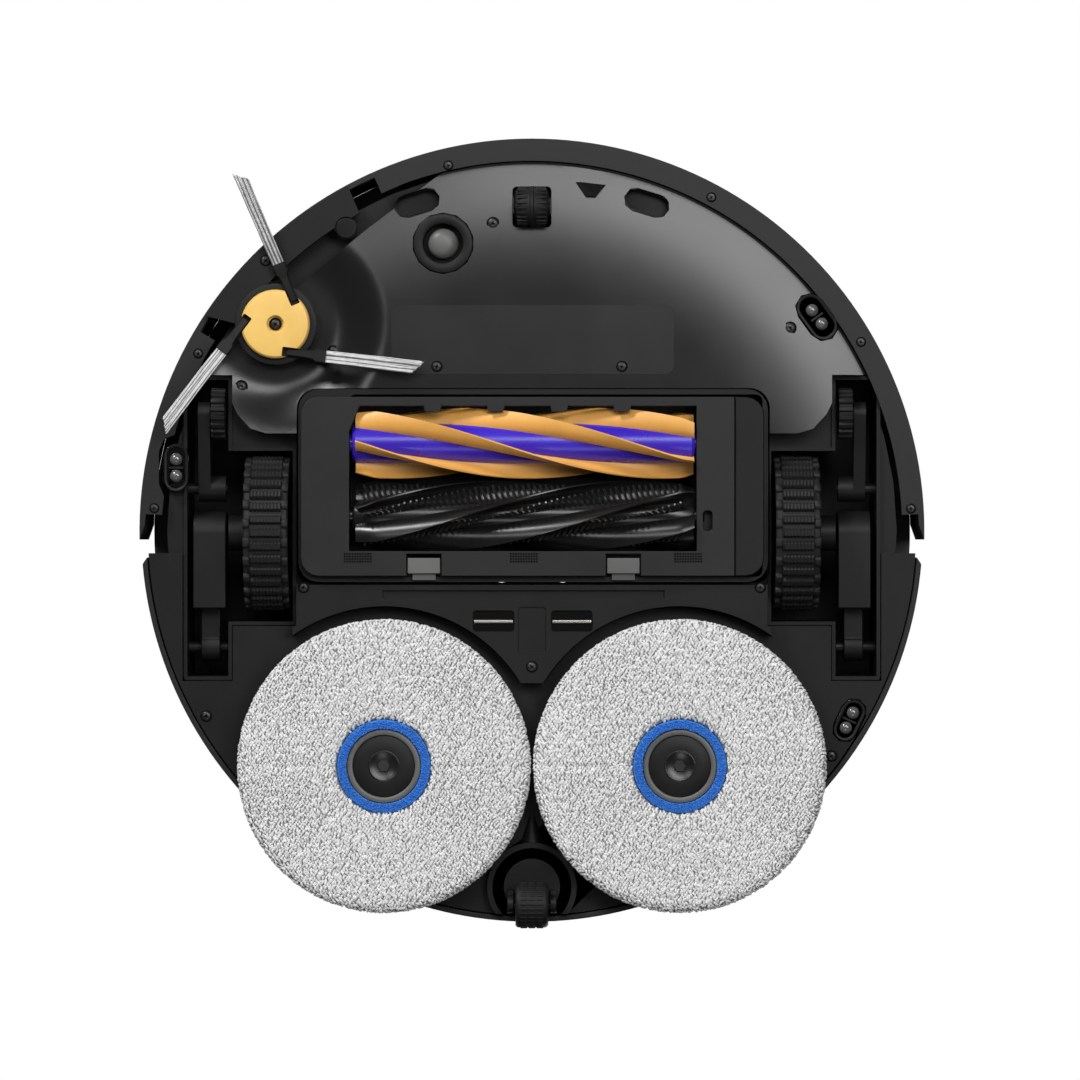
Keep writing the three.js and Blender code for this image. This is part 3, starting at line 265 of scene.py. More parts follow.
# A near-black gloss, darker than the black plastic: painted shade inside slots and channels.
PAINTED_SHADE_GLOSS = moulded("painted_shade_gloss", (0.005, 0.005, 0.005), 0.3, 0.1, 900, Specular_IOR_Level=0.3)
LABEL_FACE = moulded("label_face", (0.0085, 0.0085, 0.009), 0.34, 0.1, 1200, 0.02, Specular_IOR_Level=0.4)
GLOSSY_RUBBER = moulded("black_glossy_rubber", (0.009, 0.009, 0.009), 0.26, 0.08, 700, 0.05)
CONTACT = moulded("nickel_contact", (0.34, 0.33, 0.31), 0.28, 0.1, 1600, 0.08, Metallic=1.0)
missing = set(SLOT_OF.values()) - set(FINISH)
print("finishes missing:", missing or "none")

# %% [markdown]
# ## From CAD solid to moulding
# The CAD solids have knife edges and their big circles are many-sided. A real moulding has a
# small radius on every edge, and that radius is what catches the light. Each solid's copy is
# welded, its flat faces are joined, its arcs are brought out to the true circle, and a bevel
# with weighted normals rounds the edges. A bevel modifier is used rather than a subdivision
# surface, because the faces stay flat and the sizes stay exact.

# %% Moulding helpers
def as_object(name, mesh, material=None):
    """A new object at the origin, with one finish."""
    made = bpy.data.objects.new(name, mesh)
    bpy.context.scene.collection.objects.link(made)
    if material:
        mesh.materials.clear()
        mesh.materials.append(material)
    return made


def mesh_of(bm, name):
    """A plain mesh made from a bmesh, which is freed."""
    mesh = bpy.data.meshes.new(name)
    bm.to_mesh(mesh)
    bm.free()
    return mesh


def soften(mesh, angle=35):
    """Smooth shading, with creases where faces meet at more than an angle."""
    mesh.polygons.foreach_set("use_smooth", [True] * len(mesh.polygons))
    mesh.set_sharp_from_angle(angle=math.radians(angle))


def settle(obj):
    """Replaces an object's mesh by what its modifiers make of it, and removes them."""
    depsgraph = bpy.context.evaluated_depsgraph_get()
    mesh = bpy.data.meshes.new_from_object(obj.evaluated_get(depsgraph))
    obj.modifiers.clear()
    old, obj.data = obj.data, mesh
    bpy.data.meshes.remove(old)
    return obj


def attach(obj, body, nodes=()):
    """Rides a finished piece on its body, and hides the CAD nodes it stands for."""
    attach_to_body(obj, body)
    if nodes:
        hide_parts(*nodes)
    return obj


def on_arc(edge, centre, least, most, widest):
    """Whether an edge is one chord of an arc about an upright axis."""
    spokes = [(vertex.co - centre).xy for vertex in edge.verts]
    radii = [spoke.length for spoke in spokes]
    if abs(radii[0] - radii[1]) > 0.02 * MM or not least < radii[0] < most:
        return False
    level = abs(edge.verts[0].co.z - edge.verts[1].co.z) < 0.01 * MM
    turn = spokes[0].angle(spokes[1]) if level else 0
    return math.radians(1) < turn < widest


def round_out(bm, x, y, least, most, widest=8.5, cuts=3):
    """Brings the chords of circles about an upright axis out to the true circle."""
    centre = Vector((x, y, 0)) * MM
    reach = (least * MM, most * MM, math.radians(widest))
    chords = [edge for edge in bm.edges if on_arc(edge, centre, *reach)]
    spans = [(edge.verts[0].co.copy(), edge.verts[1].co.copy()) for edge in chords]
    made = bmesh.ops.subdivide_edges(bm, edges=chords, cuts=cuts, use_grid_fill=True)
    for vertex in (item for item in made["geom_inner"] if isinstance(item, bmesh.types.BMVert)):
        spoke = (vertex.co - centre).xy
        for a, b in spans:
            along = (vertex.co - a).dot(b - a) / (b - a).length_squared
            if 0 < along < 1 and (a.lerp(b, along) - vertex.co).length < 0.001 * MM:
                vertex.co.xy = centre.xy + spoke.normalized() * (a - centre).xy.length
                break


def welded(node):
    """A bmesh copy of a CAD node, its loose triangles joined and its flat faces dissolved."""
    bm = bmesh.new()
    bm.from_mesh(frame["nodes"][node].data)
    bmesh.ops.remove_doubles(bm, verts=bm.verts, dist=0.002 * MM)
    bmesh.ops.dissolve_limit(bm, angle_limit=math.radians(0.6), verts=bm.verts, edges=bm.edges)
    return bm


def moulding(node, width, axes=(), finish=None):
    """A CAD node's copy with soft edges, which stands for it."""
    bm = welded(node)
    for axis in axes:
        round_out(bm, *axis)
    mesh = mesh_of(bm, node + "_moulding")
    soften(mesh, 30)
    slot = SLOT_OF[node]
    piece = as_object(node + "_moulding", mesh, finish or FINISH[slot])
    edge = piece.modifiers.new("soft_edges", "BEVEL")
    edge.width = width * MM
    edge.segments = 2
    edge.limit_method = "ANGLE"
    edge.angle_limit = math.radians(34)
    piece.modifiers.new("even_normals", "WEIGHTED_NORMAL").keep_sharp = False
    settle(piece)
    return attach(piece, BODY_OF[node], [node])


# %% Mouldings that keep their CAD shape
MIDDLE = (0, 0, 90, 180)
TURRET_AXIS = (0, TURRET_Y, 24, 44, 15)
MOP_AXES = [(side * MOP_X, MOP_Y, 60, 75) for side in SIDES.values()]
HARD = {
    "bumper": (0.5, [MIDDLE]),
    "bumper_window": (0.3, [MIDDLE]),
    "rear_shell": (0.5, [MIDDLE]),
    "mop_deck": (0.3, [MIDDLE]),
    "mid_plate": (0.4, MOP_AXES),
    "top_cover": (0.5, [MIDDLE]),
    "lid": (0.5, [MIDDLE]),
    "scanner_cover": (0.6, [TURRET_AXIS]),
    "roller_guard": (0.6, []),
    "guard_end_cap": (0.6, []),
    "guard_latch_right": (0.35, []),
    "guard_latch_left": (0.35, []),
    "roller_well": (0.4, []),
    "roller_gearbox": (0.4, []),
    "side_brush_arm": (0.4, [MIDDLE, (*HUB, 12, 20, 16)]),
    "brush_arm_pin": (0.3, []),
    "power_button": (0.4, [(-14, -17, 4, 7, 19)]),
    "dock_button": (0.4, [(14, -17, 4, 7, 19)]),
    "rear_caster_fork": (0.35, [(0, CASTER_Y, 10, 14, 19)]),
    "front_caster_axle": (0.2, []),
}
# The steel pin takes the near-black gloss, as painted shade of the dark channel it sits in.
OWN_FINISH = {"brush_arm_pin": PAINTED_SHADE_GLOSS, "front_caster_axle": DARK_STEEL}
FLOOR_SENSORS = {"cliff_sensor_front_left": (54, 23, 13), "cliff_sensor_right": (90, 22, 11.5),
                 "cliff_sensor_rear_left": (-64.7, 20, 11)}
HARD |= {node: (0.4, []) for node in FLOOR_SENSORS}
for name in SIDES:
    HARD[name + "_drive_gearbox"] = (0.6, [])
    HARD[name + "_climbing_leg"] = (0.5, [])
for node, (width, axes) in HARD.items():
    piece = moulding(node, width, axes, OWN_FINISH.get(node))
    print(piece.name, len(piece.data.polygons), "faces")

# %% Pieces inside the shell keep their CAD shape and take a finish
INSIDE = ["chassis", "battery", "side_brush_motor", "suction_fan", "main_board", "water_tank",
          "dust_bin", "bin_filter", "scanner_rotor", "right_mop_lift", "left_mop_lift"]
for node in INSIDE:
    piece = frame["nodes"][node]
    piece.data.materials.clear()
    piece.data.materials.append(FINISH[SLOT_OF[node]])
print(len(INSIDE), "pieces inside")

# %% [markdown]
# ## Copies on points
# Screws, tread bars, pile and bristles are all one small thing many times over. A Geometry
# Nodes tree puts a copy on every point of a plain mesh, turned and scaled by attributes of
# the point. Instances are light while they are being placed, and the tree ends by making
# them real, because the finished machine is plain meshes.

# %% Start and end of a tree
def start_tree(name, **sockets):
    """A Geometry Nodes tree with named inputs, its input sockets and its link function."""
    tree = bpy.data.node_groups.new(name, "GeometryNodeTree")
    for socket, kind in {"Geometry": "Geometry", **sockets, "Finish": "Material"}.items():
        tree.interface.new_socket(socket, in_out="INPUT", socket_type="NodeSocket" + kind)
    tree.interface.new_socket("Geometry", in_out="OUTPUT", socket_type="NodeSocketGeometry")
    return tree, add_node(tree, "NodeGroupInput").outputs, tree.links.new


def end_tree(tree, made, given, link):
    """Makes the instances real, gives them their finish and sends them out."""
    real = add_node(tree, "GeometryNodeRealizeInstances")
    link(made, real.inputs["Geometry"])
    finish = add_node(tree, "GeometryNodeSetMaterial")
    link(real.outputs["Geometry"], finish.inputs["Geometry"])
    link(given["Finish"], finish.inputs["Material"])
    link(finish.outputs["Geometry"], add_node(tree, "NodeGroupOutput").inputs["Geometry"])
    return tree


# %% The tree that makes copies
def copies_tree():
    tree, given, link = start_tree("copies_on_points", Piece="Object", Jitter="Float", Seed="Int")
    piece = add_node(tree, "GeometryNodeObjectInfo")
    link(given["Piece"], piece.inputs["Object"])
    turn = add_node(tree, "GeometryNodeInputNamedAttribute", {"Name": "turn"},
                    data_type="FLOAT_VECTOR")
    as_turn = add_node(tree, "FunctionNodeEulerToRotation")
    link(turn.outputs["Attribute"], as_turn.inputs["Euler"])
    low = add_node(tree, "ShaderNodeMath", {0: 1.0}, operation="SUBTRACT")
    high = add_node(tree, "ShaderNodeMath", {0: 1.0}, operation="ADD")
    link(given["Jitter"], low.inputs[1])
    link(given["Jitter"], high.inputs[1])
    vary = add_node(tree, "FunctionNodeRandomValue", data_type="FLOAT")
    link(low.outputs[0], vary.inputs["Min"])
    link(high.outputs[0], vary.inputs["Max"])
    link(given["Seed"], vary.inputs["Seed"])
    put = add_node(tree, "GeometryNodeInstanceOnPoints")
    link(given["Geometry"], put.inputs["Points"])
    link(piece.outputs["Geometry"], put.inputs["Instance"])
    link(as_turn.outputs["Rotation"], put.inputs["Rotation"])
    link(vary.outputs["Value"], put.inputs["Scale"])
    return end_tree(tree, put.outputs["Instances"], given, link)


COPIES = copies_tree()


def run_tree(obj, tree, values):
    """Runs a Geometry Nodes tree on an object and keeps the plain mesh it makes."""
    modifier = obj.modifiers.new(tree.name, "NODES")
    modifier.node_group = tree
    for item in tree.interface.items_tree:
        if item.in_out == "INPUT" and item.name in values:
            modifier[item.identifier] = values[item.name]
    return settle(obj)


def copies(name, small, places, material, jitter=0.0, seed=1):
    """Copies of a small mesh at (position in mm, rotation) places, as one plain mesh."""
    pattern = as_object(name + "_pattern", small)
    points = bpy.data.meshes.new(name)
    points.from_pydata([Vector(spot) * MM for spot, _ in places], [], [])
    turns = points.attributes.new("turn", "FLOAT_VECTOR", "POINT")
    turns.data.foreach_set("vector", [angle for _, turn in places for angle in turn])
    made = as_object(name, points)
    values = {"Piece": pattern, "Jitter": jitter, "Seed": seed, "Finish": material}
    run_tree(made, COPIES, values)
    bpy.data.objects.remove(pattern)
    soften(made.data, 40)
    return made


def facing(direction, spin=0.0):
    """The rotation that turns a small piece's own Z to a direction."""
    return (Vector(direction).to_track_quat("Z", "Y") @ Quaternion((0, 0, 1), spin)).to_euler()


DOWN = (0, 0, -1)
ALONG_X = (0, math.pi / 2, 0)

# %% Turned and skinned shapes
def lathe(profile, segments=64, closed=False):
    """A bmesh turned about Z from (radius, height) points in mm."""
    bm = bmesh.new()
    rings = []
    for radius, height in profile:
        if radius < 1e-6:
            rings.append([bm.verts.new(Vector((0, 0, height)) * MM)])
            continue
        ring = []
        for i in range(segments):
            a = math.tau * i / segments
            ring.append(bm.verts.new(Vector((radius * math.cos(a), radius * math.sin(a), height)) * MM))
        rings.append(ring)
    pairs = list(zip(rings, rings[1:]))
    if closed:
        pairs.append((rings[-1], rings[0]))
    for low, high in pairs:
        for i in range(segments):
            j = (i + 1) % segments
            corners = [ring[k % len(ring)] for ring, k in ((low, i), (low, j), (high, j), (high, i))]
            corners = list(dict.fromkeys(corners))
            if len(corners) > 2:
                bm.faces.new(corners)
    bmesh.ops.recalc_face_normals(bm, faces=bm.faces)
    return bm


def skinned(rows, closed=False):
    """A bmesh over rows of points in mm, each row a loop; the ends are capped unless closed."""
    bm = bmesh.new()
    loops = [[bm.verts.new(Vector(point) * MM) for point in row] for row in rows]
    pairs = list(zip(loops, loops[1:]))
    if closed:
        pairs.append((loops[-1], loops[0]))
    else:
        bm.faces.new(loops[0])
        bm.faces.new(loops[-1][::-1])
    for one, two in pairs:
        for i in range(len(one)):
            j = (i + 1) % len(one)
            bm.faces.new([one[i], one[j], two[j], two[i]])
    bmesh.ops.recalc_face_normals(bm, faces=bm.faces)
    return bm


def placed(bm, x=0.0, y=0.0, z=0.0, turn=None):
    """Turns a bmesh about its origin and moves it there, in mm."""
    if turn:
        bmesh.ops.rotate(bm, verts=bm.verts, matrix=Euler(turn).to_matrix())
    bmesh.ops.translate(bm, verts=bm.verts, vec=Vector((x, y, z)) * MM)
    return bm


def to_object(name, bm, material, angle=35):
    """An object of a bmesh, smooth but for creases past an angle."""
    made = as_object(name, mesh_of(bm, name), material)
    soften(made.data, angle)
    return made


def turned(name, profile, x, y, material, segments, angle=35, closed=False):
    """A turned object that stands at (x, y), from (radius, height) points."""
    return to_object(name, placed(lathe(profile, segments, closed), x, y), material, angle)


def joined(name, parts):
    """Several objects made one, with their finishes kept."""
    bm = bmesh.new()
    materials = []
    for part in parts:
        start = len(bm.faces)
        bm.from_mesh(part.data)
        bm.faces.ensure_lookup_table()
        slots = list(part.data.materials)
        for face in bm.faces[start:]:
            own = slots[min(face.material_index, len(slots) - 1)]
            if own not in materials:
                materials.append(own)
            face.material_index = materials.index(own)
    made = as_object(name, mesh_of(bm, name))
    for part in parts:
        bpy.data.objects.remove(part)
    for material in materials:
        made.data.materials.append(material)
    soften(made.data, 38)
    return made


# %% [markdown]
# ## Front cover
# The cover is one satin moulding, flat in the middle and bowed up towards its rim, with a
# soft bowl for the side brush. That slow curve is what makes the bright band near the edge,
# so it is made from a fine polar sheet whose height follows a formula. The plan, with every
# opening, is taken from the CAD cover: its faces that look down are flattened and pulled up
# into a punch, and the punch cuts the sheet.

# %% The cover's plan and height
COVER_FLAT, COVER_RIM, COVER_RISE = 107.0, 164.3, 5.1
BOWL_FLOOR, BOWL_EDGE, BOWL_Z = 25.0, 51.0, 20.8


def ease(t):
    """A smooth step from 0 to 1."""
    t = max(0.0, min(1.0, t))
    return t * t * (3 - 2 * t)


def cover_height(x, y):
    """The underside of the front cover, in mm above the floor."""
    r = math.hypot(x, y)
    bow = COVER_Z + COVER_RISE * max(0.0, (r - COVER_FLAT) / (COVER_RIM - COVER_FLAT)) ** 2
    lip = max(0.0, (r - (COVER_RIM - 1.2)) / 1.2) ** 2 * 0.8
    d = math.hypot(x - HUB[0], y - HUB[1])
    sink = ease((BOWL_EDGE - d) / (BOWL_EDGE - BOWL_FLOOR))
    return (bow + lip) * (1 - sink) + BOWL_Z * sink


def punch(node, top):
    """A prism of everything a thin CAD sheet covers, seen from below."""
    bm = welded(node)
    up = [face for face in bm.faces if face.normal.z > -0.25]
    bmesh.ops.delete(bm, geom=up, context="FACES")
    low = min(vertex.co.z for vertex in bm.verts)
    for vertex in bm.verts:
        vertex.co.z = low - 2 * MM
    bmesh.ops.remove_doubles(bm, verts=bm.verts, dist=0.02 * MM)
    bmesh.ops.dissolve_limit(bm, angle_limit=math.radians(0.5), verts=bm.verts, edges=bm.edges)
    touching = [v for v in bm.verts if sum(edge.is_boundary for edge in v.link_edges) > 2]
    for vertex in touching:
        corner = min(vertex.link_loops, key=lambda loop: loop.face.calc_area())
        middle = corner.face.calc_center_median()
        apart = bmesh.utils.loop_separate(corner)
        apart.co += (middle - apart.co).normalized() * 0.05 * MM
    round_out(bm, *MIDDLE)
    round_out(bm, *CARPET, 12, 15, 14)
    made = bmesh.ops.extrude_face_region(bm, geom=bm.faces[:])
    raised = [item for item in made["geom"] if isinstance(item, bmesh.types.BMVert)]
    bmesh.ops.translate(bm, verts=raised, vec=(0, 0, top * MM - (low - 2 * MM)))
    bmesh.ops.recalc_face_normals(bm, faces=bm.faces)
    return as_object(node + "_punch", mesh_of(bm, node + "_punch"))


# %% The bowed sheet
def cover_sheet(thick=1.6, around=384):
    """A bowed sheet of rings: out along its underside to the rim, and back over its top."""
    radii = [95 + 1.9 * i for i in range(36)] + [163.1, 163.6, 164.0, COVER_RIM]
    angles = [math.tau * i / around for i in range(around)]
    under = [[(r * math.cos(a), r * math.sin(a)) for a in angles] for r in radii]
    rows = [[(x, y, cover_height(x, y)) for x, y in ring] for ring in under]
    rows += [[(x, y, z + thick) for x, y, z in row] for row in rows[::-1]]
    return skinned(rows)


def cut_by(obj, other, operation):
    """A boolean with another object, which is then thrown away."""
    step = obj.modifiers.new("cut", "BOOLEAN")
    step.operation = operation
    step.solver = "MANIFOLD"
    step.object = other
    settle(obj)
    obj.data.validate()
    bpy.data.objects.remove(other)
    return obj


def plate(x0, x1, y0, y1, z0, z1, r, steps=6):
    """A bmesh plate with round corners, in mm."""
    outline = []
    for cx, cy, start in ((x1, y0, -90), (x1, y1, 0), (x0, y1, 90), (x0, y0, 180)):
        inward = (r if cx == x0 else -r, r if cy == y0 else -r)
        for i in range(steps + 1):
            a = math.radians(start + 90 * i / steps)
            outline.append((cx + inward[0] + r * math.cos(a), cy + inward[1] + r * math.sin(a)))
    return skinned([[(x, y, z) for x, y in outline] for z in (z0, z1)])


cover = to_object("front_cover_moulding", cover_sheet(), FINISH["satin_cover"])
cut_by(cover, punch("front_cover", 40), "INTERSECT")
soften(cover.data, 32)
cover.modifiers.new("even_normals", "WEIGHTED_NORMAL").keep_sharp = True
settle(cover)
cover.data.validate()
attach(cover, "chassis", ["front_cover"])
LABEL_Z = COVER_Z - 0.14
label = plate(-63.1, 62.6, 69.7, 100.4, LABEL_Z, COVER_Z + 0.4, 4)
bmesh.ops.bevel(label, geom=label.edges[:], offset=0.12 * MM, segments=2, affect="EDGES")
attach(to_object("label_plate", label, LABEL_FACE, 30), "chassis")
print("front cover", len(cover.data.polygons), "faces")

# %% [markdown]
# ## Rollers
# Each roller is a rubber sleeve with five blades that twist half a turn along it, the two
# rollers in opposite hands. A blade is a rule: a thin curved section, turned as it goes. So
# its mesh is made section by section. The front roller shows a violet core between orange
# blades; the rear one is black, with rows of bristle tufts between its blades.

# %% Roller blades
BLADES, TWIST = 5, math.pi
roller_low, roller_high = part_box("front_roller_core")
ROLLER_X0, ROLLER_X1 = roller_low[0] / MM + 3, roller_high[0] / MM - 3
ROLLER_LENGTH = ROLLER_X1 - ROLLER_X0
ROLLER_AXIS = {node: centre(node)[1:] for node in ("front_roller_fins", "rear_roller")}
BLADE_TIP = 15.4
REST_TURN = {"front_roller_fins": math.radians(20), "rear_roller": math.radians(-4)}


def blade_section(tip, root, thick, lean):
    """Half-section points of one blade, from its foot round its tip, as (radius, angle)."""
    side = []
    for i in range(7):
        t = i / 6
        radius = root + (tip - root) * t
        half = thick * (1.25 - 0.55 * t) / 2
        side.append((radius, half, lean * t * t))
    near = [(r, -h / r + bend) for r, h, bend in side]
    far = [(r, h / r + bend) for r, h, bend in reversed(side)]
    r, h, bend = side[-1]
    return near + [(r + 0.35, bend)] + far


def blade(hand, start, x0, x1, tip, root, thick=1.5, lean=0.32, steps=72, taper=0.2):
    """One twisted blade along X, in mm about its own axis; its ends are drawn in."""
    rows = []
    for s in range(steps + 1):
        t = s / steps
        x = x0 + (x1 - x0) * t
        drawn = taper * max(0.0, 1 - (x - x0) / 5) + (taper + 0.05) * max(0.0, 1 - (x1 - x) / 9)
        reach = root + (tip - root) * (1 - drawn)
        turn = start + hand * TWIST * t
        section = blade_section(reach, root, thick, hand * lean)
        rows.append([(x, r * math.sin(turn + a), -r * math.cos(turn + a)) for r, a in section])
    return skinned(rows)


def sleeve(name, node, radius, material):
    """The tube between the blades, with a slow swell so that it isn't a plain drum."""
    y, z = ROLLER_AXIS[node]
    end = ROLLER_LENGTH
    profile = [(0, -3), (3.9, -3), (3.9, 0), (radius - 0.8, 0.2), (radius, 1.4)]
    profile += [(radius + 0.12 * math.sin(math.pi * i / 12), end * i / 12) for i in range(1, 12)]
    profile += [(radius, end - 1.4), (radius - 0.8, end - 0.2), (3.9, end), (3.9, end + 3), (0, end + 3)]
    tube = placed(lathe(profile, 48), turn=ALONG_X)
    return to_object(name, placed(tube, ROLLER_X0, y, z), material, 30)


def blades(name, node, hand, material, root):
    """The five blades of a roller as one piece."""
    y, z = ROLLER_AXIS[node]
    parts = []
    for i in range(BLADES):
        start = REST_TURN[node] + math.tau * i / BLADES
        bm = blade(hand, start, ROLLER_X0 + 0.4, ROLLER_X1 - 1.5, BLADE_TIP, root)
        parts.append(to_object(f"{name}_{i}", placed(bm, 0, y, z), material, 50))
    return joined(name, parts)


core = sleeve("front_roller_violet_core", "front_roller_fins", 8.8, FINISH["violet_core"])
attach(core, "front_roller", ["front_roller_core"])
fins = blades("front_roller_blades", "front_roller_fins", 1, FINISH["orange_fins"], 8.4)
attach(fins, "front_roller", ["front_roller_fins"])
print(fins.name, len(fins.data.polygons), "faces")

# %% Bristle tufts on the rear roller
def tuft(height, radius, sides=5):
    """A short cone of bristles, its foot at the origin."""
    profile = [(0, 0), (radius, 0), (radius * 0.9, height * 0.6), (radius * 0.7, height), (0, height)]
    return lathe(profile, sides)


def bristle_row(name, node, hand, pitch=2.6):
    """Tufts along a helix midway between two blades."""
    y, z = ROLLER_AXIS[node]
    spots = []
    for lane in range(BLADES):
        for i in range(int((ROLLER_LENGTH - 8) / pitch)):
            along = 4 + i * pitch
            a = REST_TURN[node] + math.tau * (lane + 0.45) / BLADES + hand * TWIST * along / ROLLER_LENGTH
            out = Vector((0.35, math.sin(a), -math.cos(a)))
            foot = (ROLLER_X0 + along, y + out.y * 6.8, z + out.z * 6.8)
            spots.append((foot, facing(out)))
    return copies(name, mesh_of(tuft(7.6, 0.75), name + "_tuft"), spots, DARK_BRISTLE, 0.06, 3)


rear_parts = [
    sleeve("rear_sleeve", "rear_roller", 7.2, GLOSSY_RUBBER),
    blades("rear_blades", "rear_roller", -1, GLOSSY_RUBBER, 6.9),
    bristle_row("rear_bristles", "rear_roller", -1),
]
rear_roller = joined("rear_roller_black", rear_parts)
attach(rear_roller, "rear_roller", ["rear_roller"])
print(rear_roller.name, len(rear_roller.data.polygons), "faces")

# %% [markdown]
# ## Drive wheels
# A drive wheel's tyre has two kinds of bar: wide ones down the middle with a saw edge, and
# narrow lugs at each side, set a little lower. The bars are copies round a plain band, so
# that their count and pitch are two numbers.

# %% Bars and bands
def bar(length, width, height, notch=0):
    """A round-topped bar along X with its foot at the origin, ends chamfered, in mm."""
    half, w = length / 2, width / 2
    section = [(-w, 0), (-w * 0.92, height * 0.7), (-w * 0.6, height)]
    section += [(-y, z) for y, z in section[::-1]]
    stations = [(-half, 0.9), (-half + 0.3, 1)] + [(half - 0.3, 1), (half, 0.9)]
    if notch:
        stations[2:2] = [(-half + length * (i + 0.5) / notch, 0.86 if i % 2 else 1) for i in range(notch)]
    return skinned([[(x, y * k, z * k) for y, z in section] for x, k in stations])


def round_x(count, x, y, z, radius, phase=0.0):
    """Places round an axis along X, each facing outwards."""
    spots = []
    axis = Vector((1, 0, 0))
    for i in range(count):
        a = math.tau * (i + phase) / count
        out = Vector((0, math.cos(a), math.sin(a)))
        turn = Matrix((axis, out.cross(axis), out)).transposed().to_euler()
        spots.append((Vector((x, y, z)) + out * radius, turn))
    return spots


def band(name, where, profile, material, segments=96, closed=True):
    """A turned piece lying along X, from (radius, offset) points."""
    bm = placed(lathe(profile, segments, closed), turn=ALONG_X)
    return to_object(name, placed(bm, *where), material, 35)


def ribbed_wheel(name, node, body, profile, segments, rib, offsets, count, radius):
    """A rubber wheel along X: a turned band, with bars copied round it at each offset."""
    x, y, z = centre(node)
    parts = [band(name + "_band", (x, y, z), profile, FINISH["rubber"], segments)]
    for offset in offsets:
        spots = round_x(count, x + offset, y, z, radius)
        parts.append(copies(f"{name}_ribs_{offset}", mesh_of(bar(*rib), "rib"), spots, FINISH["rubber"]))
    attach(joined(name, parts), body, [node])


def mirrored(half):
    """A whole band profile from the half that runs from its middle to one side."""
    return [(r, -x) for r, x in half[::-1]] + half


TREAD_R = 35.0
BAND = mirrored([(TREAD_R - 2.2, 7.0), (TREAD_R - 2.4, 7.2), (TREAD_R - 2.6, 9.2), (TREAD_R - 3.2, 9.8),
                 (TREAD_R - 7.8, 9.8)])
RIM = TREAD_R - 8.4
HUB_PROFILE = [(0, -5), (6, -5), (RIM - 6, -3.8), (RIM - 4, -8), (RIM - 0.5, -9), (RIM, -8.6), (RIM, 8.6),
               (RIM - 0.5, 9), (RIM - 4, 8.4), (RIM - 5, 5), (8, 5), (8, 17.6), (0, 17.6)]
CLIMB_BAND = mirrored([(10.4, 2.8), (10.0, 3.1), (2.9, 3.1)])
for name, side in SIDES.items():
    x, y, z = centre(name + "_tyre")
    middle = mesh_of(bar(13.8, 4.2, 2.3, 18), "tread_bar")
    parts = [band(name + "_tyre_band", (x, y, z), BAND, FINISH["tread"])]
    parts.append(copies(name + "_bars", middle, round_x(36, x, y, z, TREAD_R - 2.35), FINISH["tread"]))
    for offset in (-8.5, 8.5):
        lug = mesh_of(bar(2.9, 4.6, 2.0), "tread_lug")
        spots = round_x(24, x + offset, y, z, TREAD_R - 2.9, 0.5)
        parts.append(copies(f"{name}_lugs_{offset}", lug, spots, FINISH["tread"]))
    attach(joined(name + "_tyre_tread", parts), name + "_wheel", [name + "_tyre"])
    hub = [(r, offset * side) for r, offset in HUB_PROFILE]
    wheel_hub = band(name + "_wheel_hub_moulding", (x, y, z), hub, FINISH["black_plastic"], 64, False)
    attach(wheel_hub, name + "_wheel", [name + "_wheel_hub"])
    ribbed_wheel(name + "_climbing_roller_rubber", name + "_climbing_roller", name + "_leg_roller",
                 CLIMB_BAND, 48, (6.2, 2.6, 1.3), [0], 18, 10.25)
print("drive wheels and climbing rollers made")

# %% [markdown]
# ## Casters
# The front caster is a barrel: thick in the middle, with a rib round it and two columns of
# short ribs. The rear one is a plain drum with ribs along it. Both are turned shapes with
# bars copied round them.

# %% Caster wheels
BARREL = mirrored([(8.85, 0.6), (8.4, 1.0), (8.35, 1.4), (8.0, 4.0), (7.3, 6.6), (6.6, 7.2), (2.1, 7.2)])
ribbed_wheel("front_caster_ribbed_wheel", "front_caster_wheel", "front_caster",
             BARREL, 64, (4.4, 1.1, 0.75), (-4.2, 4.2), 22, 7.75)
DRUM = mirrored([(9.9, 5.6), (9.7, 6.6), (8.9, 7.3), (2.0, 7.3)])
ribbed_wheel("rear_caster_ribbed_wheel", "rear_caster_wheel", "rear_wheel",
             DRUM, 72, (2.9, 1.0, 0.42), (-3.6, 0.0, 3.6), 30, 9.85)
print("casters made")

# %% [markdown]
# ## Side brush
# The side brush is a moulded hub, three dark roots that clamp the bristles, and the
# bristles themselves. A bundle is many single strands. Each strand is a short line that dips
# from its root to the floor, and a Geometry Nodes tree gives all the lines their thickness.

# %% The tree that makes strands
def strands_tree():
    tree, given, link = start_tree("strands_from_lines", Radius="Float")
    lines = add_node(tree, "GeometryNodeMeshToCurve")
    link(given["Geometry"], lines.inputs["Mesh"])
    section = add_node(tree, "GeometryNodeCurvePrimitiveCircle", {"Resolution": 4})
    link(given["Radius"], section.inputs["Radius"])
    skin = add_node(tree, "GeometryNodeCurveToMesh", {"Fill Caps": True})
    link(lines.outputs["Curve"], skin.inputs["Curve"])
    link(section.outputs["Curve"], skin.inputs["Profile Curve"])
    return end_tree(tree, skin.outputs["Mesh"], given, link)


STRANDS = strands_tree()


def strands(name, lines, radius, material):
    """Polylines in mm, given a thickness and made one plain mesh."""
    points, edges = [], []
    for line in lines:
        start = len(points)
        points += [Vector(point) * MM for point in line]
        edges += [(start + i, start + i + 1) for i in range(len(line) - 1)]
    mesh = bpy.data.meshes.new(name)
    mesh.from_pydata(points, edges, [])
    made = as_object(name, mesh)
    run_tree(made, STRANDS, {"Radius": radius * MM, "Finish": material})
    soften(made.data, 60)
    return made


# %% Bristles, roots and hub
ARM_ANGLES = [math.radians(a) for a in (66.9, 186.9, 306.9)]
ARM_LEAD = 11.7
HUB_R = 15.3


